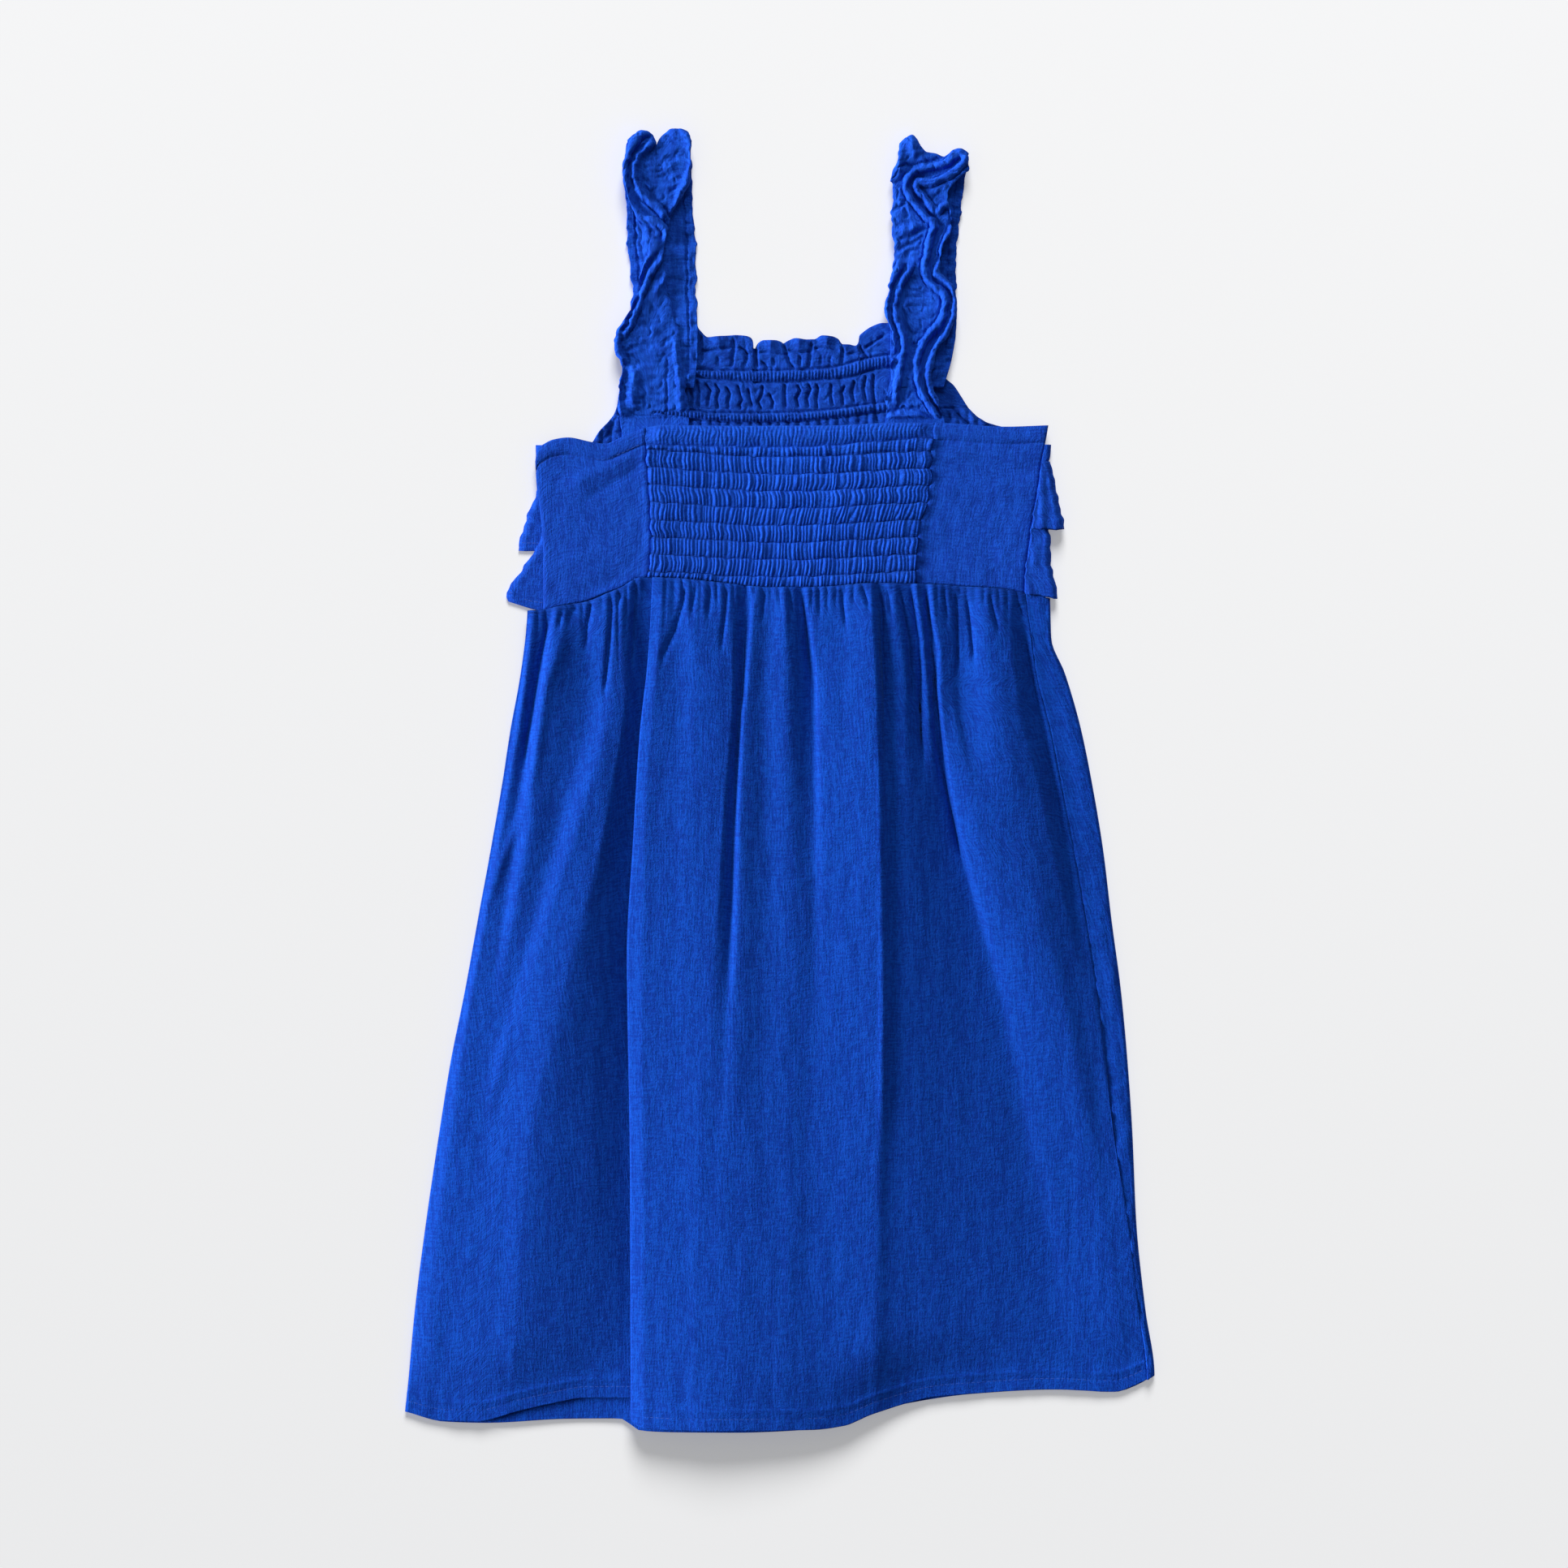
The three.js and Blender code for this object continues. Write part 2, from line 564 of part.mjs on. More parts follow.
function backSkirt() {
  const leftEdge = { x: (y) => side("left", y), rise: () => EDGE_RISE };
  const seam = { x: (y) => side("seam", y), rise: (y) => seamRise(side("seam", y), y) };
  const left = columnsBetween([leftEdge, ...FOLDS_LEFT.map(foldLine)]);
  const right = columnsBetween([...FOLDS_RIGHT.map(foldLine), seam]);
  left.forEach((column) => {
    column.hem = (x) => follow(HEM_LEFT_OF_PLEAT, "x", "y", x);
  });
  right.forEach((column) => {
    column.hem = (x) => follow(HEM_RIGHT_OF_PLEAT, "x", "y", x);
  });
  const pleatHem = follow(PLEAT, "y", "edge", FOLD_HEIGHTS.hem);
  const pleat = pleatColumns(left.at(-1).hem(pleatHem), right[0].hem(pleatHem));
  const columns = [...left, ...pleat, ...right];
  const grid = SKIRT_ROWS.map((share) => columns.map((column, c) => {
    const top = waistY(column.x(FOLD_HEIGHTS.waist));
    const foot = column.hem(column.x(FOLD_HEIGHTS.hem));
    const y = mix(top, foot, share);
    const x = column.x(y);
    const fade = 1 - ease((top - y) / WAIST_GATHER_REACH);
    const plain = column.plain || c === 0 || c === columns.length - 1;
    const gather = plain || c % 2 === 0 ? 0 : WAIST_GATHER * fade;
    const drawnIn = plain ? 1 : 1 - WAIST_DRAW * fade * fade * fade;
    return new THREE.Vector3(x, y, backLevel(x, y) + column.rise(y) * drawnIn + gather);
  }));
  const hemFrom = SKIRT_ROWS.length - HEM_ROWS;
  return wall(grid, CLOTH, (r, c) => (r >= hemFrom && !columns[c].plain ? HEM_RAISE : 0));
}

// Section of a front piece: flat underneath, round the right fold, and back to the side seam
function wrapSection(left, fold, seam, radius, flatColumns, topColumns) {
  const centre = fold - CLOTH / 2 - radius;
  const section = [];
  for (let k = 0; k < flatColumns; k += 1) {
    section.push({ x: mix(left, centre, k / flatColumns), over: 0 });
  }
  for (let k = -2; k <= 2; k += 1) {
    const angle = (k * Math.PI) / 4;
    section.push({ x: centre + radius * Math.cos(angle), over: 0.5 + 0.5 * Math.sin(angle) });
  }
  for (let k = 1; k <= topColumns; k += 1) {
    section.push({ x: mix(centre, seam + SEAM_GAP, k / topColumns), over: 1 });
  }
  return section;
}

// Grid of a front piece; its sides are functions of y, its ends of x, its levels of both
function wrappedGrid(piece) {
  const radiusAt = (y) => (piece.over(piece.fold(y), y) - piece.under(piece.fold(y), y)) / 2;
  const sectionAt = (y) => wrapSection(
    piece.left(y), piece.fold(y), piece.seam(y), radiusAt(y), piece.flatColumns, piece.topColumns);
  const [start, finish] = piece.span;
  return piece.shares.map((share) => sectionAt(mix(start, finish, share)).map((guess, c) => {
    const y = mix(piece.top(guess.x), piece.foot(guess.x), share);
    const spot = sectionAt(y)[c];
    return new THREE.Vector3(spot.x, y, mix(piece.under(spot.x, y), piece.over(spot.x, y), spot.over));
  }));
}

function frontSkirt() {
  const inset = 1.4;
  return wall(wrappedGrid({
    shares: FRONT_SKIRT_ROWS,
    span: [FOLD_HEIGHTS.waist, FOLD_HEIGHTS.hem],
    left: (y) => side("left", y) + inset,
    fold: (y) => side("fold", y),
    seam: (y) => side("seam", y),
    top: frontWaistY,
    foot: (x) => follow(FRONT_HEM, "x", "y", x),
    under: frontLevel,
    over: (x, y) => backLevel(x, y) + seamRise(x, y),
    flatColumns: 23,
    topColumns: 2,
  }), CLOTH, () => 0);
}

function backTopY(x) {
  return follow(BACK_TOP_EDGE, "x", "y", x);
}

function bodiceLine(line, y) {
  return follow(BODICE_LINES, "y", line, y);
}

// Grid over part of the back bodice, from its top edge to the waist seam
function bodiceGrid(shares, columns, leftLine, rightLine, leftGap, rightGap, height) {
  return shares.map((share) => {
    const row = [];
    for (let c = 0; c <= columns; c += 1) {
      const across = c / columns;
      const levelY = mix(backTopY(0), waistY(0), share);
      const guess = mix(bodiceLine(leftLine, levelY), bodiceLine(rightLine, levelY), across);
      const y = mix(backTopY(guess), waistY(guess) + WAIST_GAP, share);
      const left = bodiceLine(leftLine, y) + leftGap;
      const right = bodiceLine(rightLine, y) - rightGap;
      const x = mix(left, right, across);
      row.push(new THREE.Vector3(x, y, height(across, backTopY(x) - y, c)));
    }
    return row;
  });
}

const BODICE_TOP = BACK_BODICE_BOTTOM + CLOTH;

function sidePanel(leftLine, rightLine, leftGap, rightGap, creases) {
  const shares = [0, 0.05, 0.1, 0.115, 0.18, 0.25, 0.33, 0.42, 0.52, 0.62, 0.72, 0.82, 0.9, 0.95, 1];
  const columns = 14;
  const grid = bodiceGrid(shares, columns, leftLine, rightLine, leftGap, rightGap, (across, down) => {
    const hem = down < TOP_HEM ? HEM_RAISE : 0;
    let crease = 0;
    for (const fold of creases) {
      const away = Math.abs(down - mix(fold.leftDown, fold.rightDown, across)) / fold.reach;
      crease += away < 1 ? fold.rise * (1 - ease(away)) : 0;
    }
    return BODICE_TOP + hem + crease;
  });
  return panel(grid, BACK_BODICE_BOTTOM);
}

const LEFT_CREASES = table("leftDown rightDown reach rise", [[34, 16, 12, 0.9], [70, 62, 14, 0.5]]);
const RIGHT_CREASES = table("leftDown rightDown reach rise", [[16, 32, 12, 0.9], [60, 76, 14, 0.5]]);

function shirredPanel() {
  const downs = [0, 3, 9, FIRST_ELASTIC];
  for (let k = 0; k < ELASTIC_ROWS - 1; k += 1) {
    const start = FIRST_ELASTIC + k * ELASTIC_PITCH;
    downs.push(start + ELASTIC_PITCH / 2, start + ELASTIC_PITCH);
  }
  const length = 90.5;
  downs.push(length - 2.5, length);
  const columns = SHIRR_GATHERS * 2;
  const shares = downs.map((down) => down / length);
  const grid = bodiceGrid(shares, columns, "shirrLeft", "shirrRight", 0, 0, () => 0);
  grid.forEach((row, r) => {
    const elastic = r >= 3 && (r - 3) % 2 === 0;
    const casing = r < 3;
    row.forEach((point, c) => {
      const crest = c % 2 ? 1 : 0;
      const uneven = 0.85 + 0.15 * Math.sin(c * 1.7 + r * 2.3);
      const puff = casing ? 0.5 + 0.3 * crest : SHIRR_PUFF * crest * uneven + 0.25;
      const atEdge = c === 0 || c === columns || r === 0;
      const low = elastic ? SHIRR_GROOVE * crest : puff;
      point.z = BODICE_TOP + (atEdge ? 0.2 : low);
    });
  });
  return panel(grid, BACK_BODICE_BOTTOM);
}

function frontYoke() {
  const columns = YOKE_ZIGZAGS * 2;
  const base = CLOTH;
  const grid = YOKE_ROWS.map((row, r) => {
    const list = [];
    for (let c = 0; c <= columns; c += 1) {
      const across = c / columns;
      const inside = Math.min(1, 8 * Math.min(across, 1 - across));
      const left = follow(YOKE_SIDES, "y", "left", row.y);
      const right = follow(YOKE_SIDES, "y", "right", row.y);
      const x = mix(left, right, across) + row.step * inside;
      const wave = Math.sin(c * 1.45) * NECK_WAVE * row.wave;
      const scallop = r < 3 ? follow(YOKE_TOP, "x", "y", x) - YOKE_ROWS[0].y : 0;
      const y = row.y + (scallop + wave) * (r === 0 ? 1 : 0.5) * (r < 3 ? 1 : 0);
      const crest = c % 2 ? 1 : 0;
      const z = base + row.rise + row.gather * crest * YOKE_RIDGE + Math.abs(wave) * 0.6;
      list.push(new THREE.Vector3(x, y, z));
    }
    return list;
  });
  return panel(grid, 0);
}

// Front bodice under the frills, turned round the right side up to the side seam
function frontBodice() {
  const top = YOKE_FOOT - SEAM_GAP;
  const stepUp = (y) => ease((y - BODICE_STEP_FOOT) / (top - BODICE_STEP_FOOT));
  const under = (x, y) => mix(FRONT_LEVEL_WAIST, FRILL_LEVEL, stepUp(y));
  return wall(wrappedGrid({
    shares: [0, 0.05, 0.1, 0.15, 0.2, 0.27, 0.5, 0.75, 1],
    span: [top, waistY(0)],
    left: (y) => bodiceLine("left", y) + 0.4,
    fold: (y) => follow(FRONT_FOLD, "y", "x", y),
    seam: (y) => bodiceLine("right", y),
    top: () => top,
    foot: (x) => frontWaistY(x) + WAIST_GAP,
    under,
    over: () => BACK_BODICE_BOTTOM + CLOTH / 2,
    flatColumns: 14,
    topColumns: 1,
  }), CLOTH, () => 0);
}

function frill(sides, hem, under, over, top) {
  const foot = sides.at(-1).y + 3;
  return wall(wrappedGrid({
    shares: [0, 0.14, 0.3, 0.5, 0.75, 1],
    span: [top, foot],
    left: (y) => follow(sides, "y", "left", y),
    fold: (y) => follow(sides, "y", "fold", y),
    seam: (y) => bodiceLine("right", y),
    top: () => top,
    foot: (x) => follow(hem, "x", "y", x),
    under,
    over,
    flatColumns: 14,
    topColumns: 4,
  }), CLOTH, () => 0);
}

function upperFrill() {
  const top = UPPER_FRILL[0].y;
  const flare = (y) => FRILL_TOP_FLARE * Math.min(1, (top - y) / (top - UPPER_FRILL_TURN));
  return frill(UPPER_FRILL, UPPER_FRILL_HEM, () => FRILL_LEVEL, (x, y) => FRILL_TOP_LEVEL + flare(y), top);
}

function lowerFrill() {
  const tuck = (y) => ease((y - LOWER_FRILL_TUCK) / 8);
  const under = (x, y) => mix(FRILL_LEVEL, FRILL_TUCKED_LEVEL, tuck(y));
  return frill(LOWER_FRILL, LOWER_FRILL_HEM, under, () => FRILL_TOP_LEVEL, LOWER_FRILL[0].y);
}

function strap(sections) {
  const grid = sections.map((section) => STRAP_PROFILE.map(({ across }) => {
    const x = mix(section.left, section.right, across);
    const y = mix(section.leftY, section.rightY, across);
    const sideZ = across < 0.5 ? section.leftZ : section.rightZ;
    return new THREE.Vector3(x, y, mix(section.midZ, sideZ, ease(Math.abs(across * 2 - 1))));
  }));
  const tail = sections.length - STRAP_TAIL_ROWS;
  return wall(grid, STRAP_CLOTH, (r, c) => {
    if (r < STRAP_FOLD_ROW || r >= tail) {
      return 0;
    }
    const middle = c > 2 && c < STRAP_PROFILE.length - 3;
    return STRAP_PROFILE[c].rise + (middle && r % 2 ? STRAP_CRINKLE : 0);
  });
}

const dress = new THREE.Group();
dress.add(cloth("back_side_panel_left", sidePanel("left", "shirrLeft", 0, PANEL_GAP, LEFT_CREASES), 1.0));
dress.add(cloth("back_shirred_panel", shirredPanel(), 0.95));
dress.add(cloth("back_side_panel_right", sidePanel("shirrRight", "right", PANEL_GAP, 0, RIGHT_CREASES), 1.0));
dress.add(cloth("back_skirt", backSkirt(), 1.05));
dress.add(cloth("front_yoke", frontYoke(), 0.85));
dress.add(cloth("front_bodice", frontBodice(), 0.8));
dress.add(cloth("front_frill_upper", upperFrill(), 0.9));
dress.add(cloth("front_frill_lower", lowerFrill(), 0.95));
dress.add(cloth("front_skirt", frontSkirt(), 0.9));
dress.add(cloth("strap_left", strap(STRAP_LEFT), 1.0));
dress.add(cloth("strap_right", strap(STRAP_RIGHT), 1.0));

export default dress;
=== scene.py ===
"""Looks of a child's smocked dress in blue double gauze, laid flat with its back up."""

import math

import bpy
import numpy as np
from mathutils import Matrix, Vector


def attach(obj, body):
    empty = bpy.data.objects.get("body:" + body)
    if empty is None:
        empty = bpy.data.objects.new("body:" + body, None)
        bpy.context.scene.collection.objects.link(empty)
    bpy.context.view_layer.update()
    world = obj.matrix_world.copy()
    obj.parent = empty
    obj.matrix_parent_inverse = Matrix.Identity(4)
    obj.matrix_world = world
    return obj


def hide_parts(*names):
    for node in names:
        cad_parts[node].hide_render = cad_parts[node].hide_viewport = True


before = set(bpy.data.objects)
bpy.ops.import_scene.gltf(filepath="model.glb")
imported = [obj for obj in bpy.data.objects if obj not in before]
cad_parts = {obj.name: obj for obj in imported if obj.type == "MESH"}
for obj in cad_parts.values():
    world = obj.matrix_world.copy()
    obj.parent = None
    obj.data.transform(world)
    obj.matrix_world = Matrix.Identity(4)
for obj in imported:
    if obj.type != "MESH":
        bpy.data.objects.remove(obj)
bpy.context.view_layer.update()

# Lengths are in millimetres until a mesh is made
METRE = 0.001
PHOTO_CENTRE = 961.0
MM_PER_PIXEL = 0.46

# Cloth and seams
CLOTH = 1.0
STRAP_CLOTH = 1.2
SEAM_GAP = 0.3
SIDE_GAP = 0.06
PANEL_GAP = 0.05
WAIST_GAP = 0.05

# Heights over the surface: both faces of the back bodice, and the middle of each other layer.
# The skirt comes down to its lower height over a stretch below the waist
BACK_BODICE_BOTTOM = 4.4
BODICE_TOP = BACK_BODICE_BOTTOM + CLOTH
BACK_LEVEL_WAIST = 4.9
BACK_LEVEL_SKIRT = 2.3
BACK_SETTLE = 60
FRONT_LEVEL_WAIST = 3.5
FRONT_LEVEL_SKIRT = 0.5
FRONT_SETTLE = 42
FRILL_LEVEL = 0.5
FRILL_TUCKED_LEVEL = 2.0
FRILL_TOP_LEVEL = 6.4
FRILL_TOP_FLARE = 1.7

# Skirt
PLEAT_UNDER = 5.0
PLEAT_FOLD = 2.8
PLEAT_WAIST_SHARE = 0.3
PLEAT_SETTLE = 80
SKIRT_PITCH = 0.85
SKIRT_ROWS = 108
WAIST_DRAW = 0.4
WAIST_DRAW_REACH = 34
GATHER_PITCH = 4.6
GATHER_RISE = 1.8
CREASE_SCALE = 1.5
GATHER_REACH = 22
SEAM_RISE = 1.3
SEAM_RISE_REACH = 25
HEM_DEPTH = 11.0
HEM_STITCH = 6.3
HEM_RAISE = 0.35
STITCH_PULL = 0.3
STITCH_WAVE = 2.1
FRONT_FOLD_SHARE = 0.12
FRONT_INSET = 1.4
EDGE_RISE = 0.2
WAIST = 108
HEM = -352
SKIRT_LENGTH = WAIST - HEM
HEM_BAND = 13
HEM_LIE_REACH = 42

# Rolled edges: depth of the crease beside a roll, how far out it lies and how wide it is
ROLL_CREASE = 1.3
ROLL_CREASE_AT = 0.3
ROLL_CREASE_WIDTH = 0.5
ROLL_FOOT = 0.4

# Smocking
SHIRR_GATHERS = 66
SHIRR_PUFF = 2.9
CASING_PUFF = 2.3
TOP_HEM = 9.5

# Yoke
YOKE_FOOT = 190
YOKE_HEAD = 254
YOKE_HEIGHT = 3.4
YOKE_LEAST = 0.4
YOKE_UNDER_STRAP = 1.6
YOKE_FREE = (-51, 64)
STRAP_JOIN = 208
YOKE_STROKE_SCALE = 1.7
PIPING_RISE = 1.5
PIPING_GROOVE = 1.4
FINE_GATHER_PITCH = 2.05
WIDE_GATHER_PITCH = 5.6
WIDE_GATHER_DEPTH = 1.6

# Front bodice, frills and straps
BODICE_STEP_FOOT = 169
FRILL_TURN = 142
FRILL_TUCK = 122
FRILL_STITCH = 5.2
STRAP_STITCH = 5.0
STRAP_FOLD_ROW = 10.5
STRAP_CROWN = 9
STRAP_STROKE_SCALE = 1.5
STRAP_ROLL_SCALE = 0.8

# Grids of the pieces
SKIRT_FLAT_COLUMNS = 90
SKIRT_TOP_COLUMNS = 12
SKIRT_FRONT_ROWS = 120
TURN_COLUMNS = 9
PANEL_COLUMNS = 60
PANEL_ROWS = 74
PANEL_COLUMN = 1.1
COLUMNS_A_GATHER = 6
SHIRR_WIDTH = 165
YOKE_COLUMNS = 384
YOKE_ROWS = 118
YOKE_WIDTH = 175
FRILL_FLAT_COLUMNS = 70
FRILL_TOP_COLUMNS = 22
FRILL_ROWS = 34
STRAP_ROWS_A_SECTION = 13
STRAP_COLUMN_COUNT = 84


def table(columns, rows):
    return [dict(zip(columns.split(), row)) for row in rows]


def photo(points):
    """Points of the photograph, which is 1932 pixels wide and high, as places on the surface."""
    points = np.asarray(points, float)
    return np.column_stack([
        (points[:, 0] - PHOTO_CENTRE) * MM_PER_PIXEL,
        (PHOTO_CENTRE - points[:, 1]) * MM_PER_PIXEL,
    ])


def mix(a, b, share):
    return a + (b - a) * share


def ease(value):
    s = np.clip(value, 0.0, 1.0)
    return s * s * (3 - 2 * s)


def ridge(away, width):
    """1 on a line, falling off smoothly to both sides of it."""
    return np.exp(-(away / width) ** 2)


def rounding(inside, reach):
    """1 at an edge of the cloth, falling off towards its inside."""
    return np.exp(-inside / reach)


def from_sides(count):
    """How many columns each of them is away from the nearer side."""
    return np.minimum(np.arange(count), np.arange(count)[::-1])


class Curve:
    """Smooth curve through points, without overshoot, level beyond its ends."""

    def __init__(self, points):
        points = np.array(sorted(map(tuple, points)), float)
        self.x = points[:, 0]
        self.y = points[:, 1]
        slope = np.diff(self.y) / np.diff(self.x)
        product = slope[:-1] * slope[1:]
        total = slope[:-1] + slope[1:]
        inner = np.where(product > 0, 2 * product / np.where(product > 0, total, 1.0), 0.0)
        self.tangent = np.concatenate([slope[:1], inner, slope[-1:]])

    def __call__(self, at):
        at = np.clip(np.asarray(at, float), self.x[0], self.x[-1])
        k = np.clip(np.searchsorted(self.x, at, "right") - 1, 0, len(self.x) - 2)
        span = self.x[k + 1] - self.x[k]
        s = (at - self.x[k]) / span
        a, b = self.y[k], self.y[k + 1]
        swing = self.tangent[k] * span * (s - 2 * s * s + s ** 3)
        settle = self.tangent[k + 1] * span * (s ** 3 - s * s)
        return a + (b - a) * s * s * (3 - 2 * s) + swing + settle


def column_curve(rows, along, column):
    return Curve([(row[along], row[column]) for row in rows])


def photo_curve(points):
    return Curve(photo(points))


def noise(x, y, seed):
    """Smooth noise from -1 to 1 with a pitch of 1 both ways."""
    size = 128
    values = np.random.default_rng(seed).uniform(-1, 1, (size, size))
    xi, yi = np.floor(x).astype(int), np.floor(y).astype(int)
    fx, fy = ease(x - xi), ease(y - yi)
    low = mix(values[yi % size, xi % size], values[yi % size, (xi + 1) % size], fx)
    high = mix(values[(yi + 1) % size, xi % size], values[(yi + 1) % size, (xi + 1) % size], fx)
    return mix(low, high, fy)


def veins(x, y, seed, width=0.14):
    """Thin crooked creases: 1 along them and 0 between."""
    return ridge(noise(x, y, seed), width)


def beside_line(x, y, line, taper):
    """Distance of each point from a line, and the share that is left of it towards the line's ends."""
    best = np.full(x.shape, 1e9)
    where = np.zeros(x.shape)
    lengths = np.hypot(*np.diff(line, axis=0).T)
    gone = 0.0
    for (ax, ay), (bx, by), length in zip(line[:-1], line[1:], lengths):
        t = ((x - ax) * (bx - ax) + (y - ay) * (by - ay)) / (length * length)
        t = np.clip(t, 0, 1)
        away = np.hypot(x - mix(ax, bx, t), y - mix(ay, by, t))
        closer = away < best
        best = np.where(closer, away, best)
        where = np.where(closer, gone + t * length, where)
        gone += length
    return best, ease(np.minimum(where, gone - where) / max(taper, 0.01))


def near_line(x, y, line, reach):
    return (
        (x > line[:, 0].min() - reach) & (x < line[:, 0].max() + reach)
        & (y > line[:, 1].min() - reach) & (y < line[:, 1].max() + reach)
    )


def relief(x, y, strokes):
    """Height added by ridges and troughs drawn as (rise, width, taper, points of the photograph)."""
    total = np.zeros_like(x)
    for rise, width, taper, points in strokes:
        line = photo(points)
        near = near_line(x, y, line, 3 * width)
        away, ends = beside_line(x[near], y[near], line, taper)
        total[near] += rise * ridge(away, width) * ends
    return total


def rolls(x, y, lines):
    """Height of round rolls of cloth, drawn like the strokes of relief, with a crease along their sides."""
    total = np.zeros_like(x)
    crease = np.zeros_like(x)
    for rise, width, taper, points in lines:
        line = photo(points)
        near = near_line(x, y, line, width + 3 * ROLL_CREASE_WIDTH)
        away, ends = beside_line(x[near], y[near], line, taper)
        roll = rise * ends * np.sqrt(np.clip(1 - (away / width) ** 2, 0, 1))
        beside = ends * ridge(away - width - ROLL_CREASE_AT, ROLL_CREASE_WIDTH)
        total[near] = np.maximum(total[near], roll)
        crease[near] = np.maximum(crease[near], beside)
    return np.where(total > ROLL_FOOT, total, total - ROLL_CREASE * crease)


# Side lines of the skirt: left edge, side seam that lies on top, and fold of the front panel
SKIRT_SIDES = table("y left seam fold", [
    (115, -141.5, 138.0, 152.6),
    (98, -142.6, 139.8, 153.0),
    (80, -144.0, 142.4, 153.6),
    (60, -146.7, 145.1, 161.5),
    (30, -152.3, 152.7, 170.2),
    (0, -156.9, 158.7, 176.4),
    (-40, -163.8, 166.5, 183.1),
    (-80, -171.1, 173.4, 187.9),
    (-120, -178.3, 179.4, 193.2),
    (-160, -186.3, 184.2, 196.9),
    (-200, -192.7, 188.8, 199.6),
    (-250, -200.1, 196.9, 201.8),
    (-300, -206.5, 203.2, 207.0),
    (-335, -209.8, 207.8, 212.1),
    (-360, -212.5, 208.2, 212.5),
])
waist_y = Curve([
    (-143, 95.8), (-134, 96.1), (-120, 98.9), (-108.6, 101.2), (-99.4, 104.9), (-90.2, 108.6),
    (-78.7, 114.6), (-60, 114.1), (-28, 110.9), (-5, 109), (18, 109), (55, 111.3), (78, 110.9),
    (110, 109), (124, 108.1), (138, 105.8), (153, 102.6),
])
front_waist_y = Curve([
    (-143, 95.8), (-134, 96.1), (-100, 101.5), (-50, 107), (0, 109), (78, 109.5), (124, 108.1),
    (138, 105.8), (153, 102.6),
])
hem_left_of_pleat = Curve([
    (-212.5, -357.4), (-189, -362.5), (-170.7, -362.9), (-148, -357), (-125, -351.9),
    (-111, -349.6), (-60, -349.6),
])
hem_right_of_pleat = Curve([
    (-90, -360), (-81, -365.2), (-51, -366.2), (18, -366.2), (36, -364.3), (52, -358.3),
    (69, -353.3), (87, -349.1), (110, -347.3), (156, -345), (190, -346.4), (202, -342.7),
    (213, -336.3),
])
front_hem = Curve([
    (-212.5, -357.4), (-189, -363.4), (-166, -364), (-120, -361.8), (-90, -361.6), (-78, -368.2),
    (-60, -368.9), (-25, -368.9), (15, -367.6), (36, -364.6), (52, -358.6), (69, -353.6),
    (110, -347.6), (156, -345.3), (190, -346.6), (202, -342.9), (213, -336.5),
])

# Crests and troughs of the back skirt from left to right: x in the photograph at six rows of
# it, and how many millimetres the cloth rises over its level there
FOLD_ROWS = (726, 850, 1000, 1250, 1500, 1742)
FOLDS_LEFT = [
    ((661, 645, 622, 578, 545, 520), (2.2, 2.6, 3.0, 3.6, 3.8, 2.4)),
    ((680, 656, 636, 600, 570, 545), (0.6, 0.5, 2.2, 4.0, 4.8, 3.0)),
    ((691, 672, 656, 614, 586, 560), (4.4, 6.8, 7.0, 4.4, 5.4, 3.4)),
    ((712, 722, 690, 628, 602, 575), (2.0, 3.6, 5.0, 5.1, 6.1, 3.8)),
    ((742, 757, 722, 648, 618, 596), (4.4, 6.4, 8.7, 7.6, 7.0, 4.4)),
    ((766, 770, 750, 690, 650, 640), (3.8, 5.8, 8.0, 10.0, 9.0, 6.2)),
    ((777, 780, 763, 734, 718, 704), (2.8, 3.2, 3.8, 6.8, 6.6, 4.6)),
    ((786, 788, 774, 757, 751, 752), (1.4, 0.8, 0.9, 3.3, 3.5, 2.0)),
    ((792, 794, 783, 774, 776, 778), (1.0, 0.1, 0.0, 0.0, 0.0, 0.0)),
]
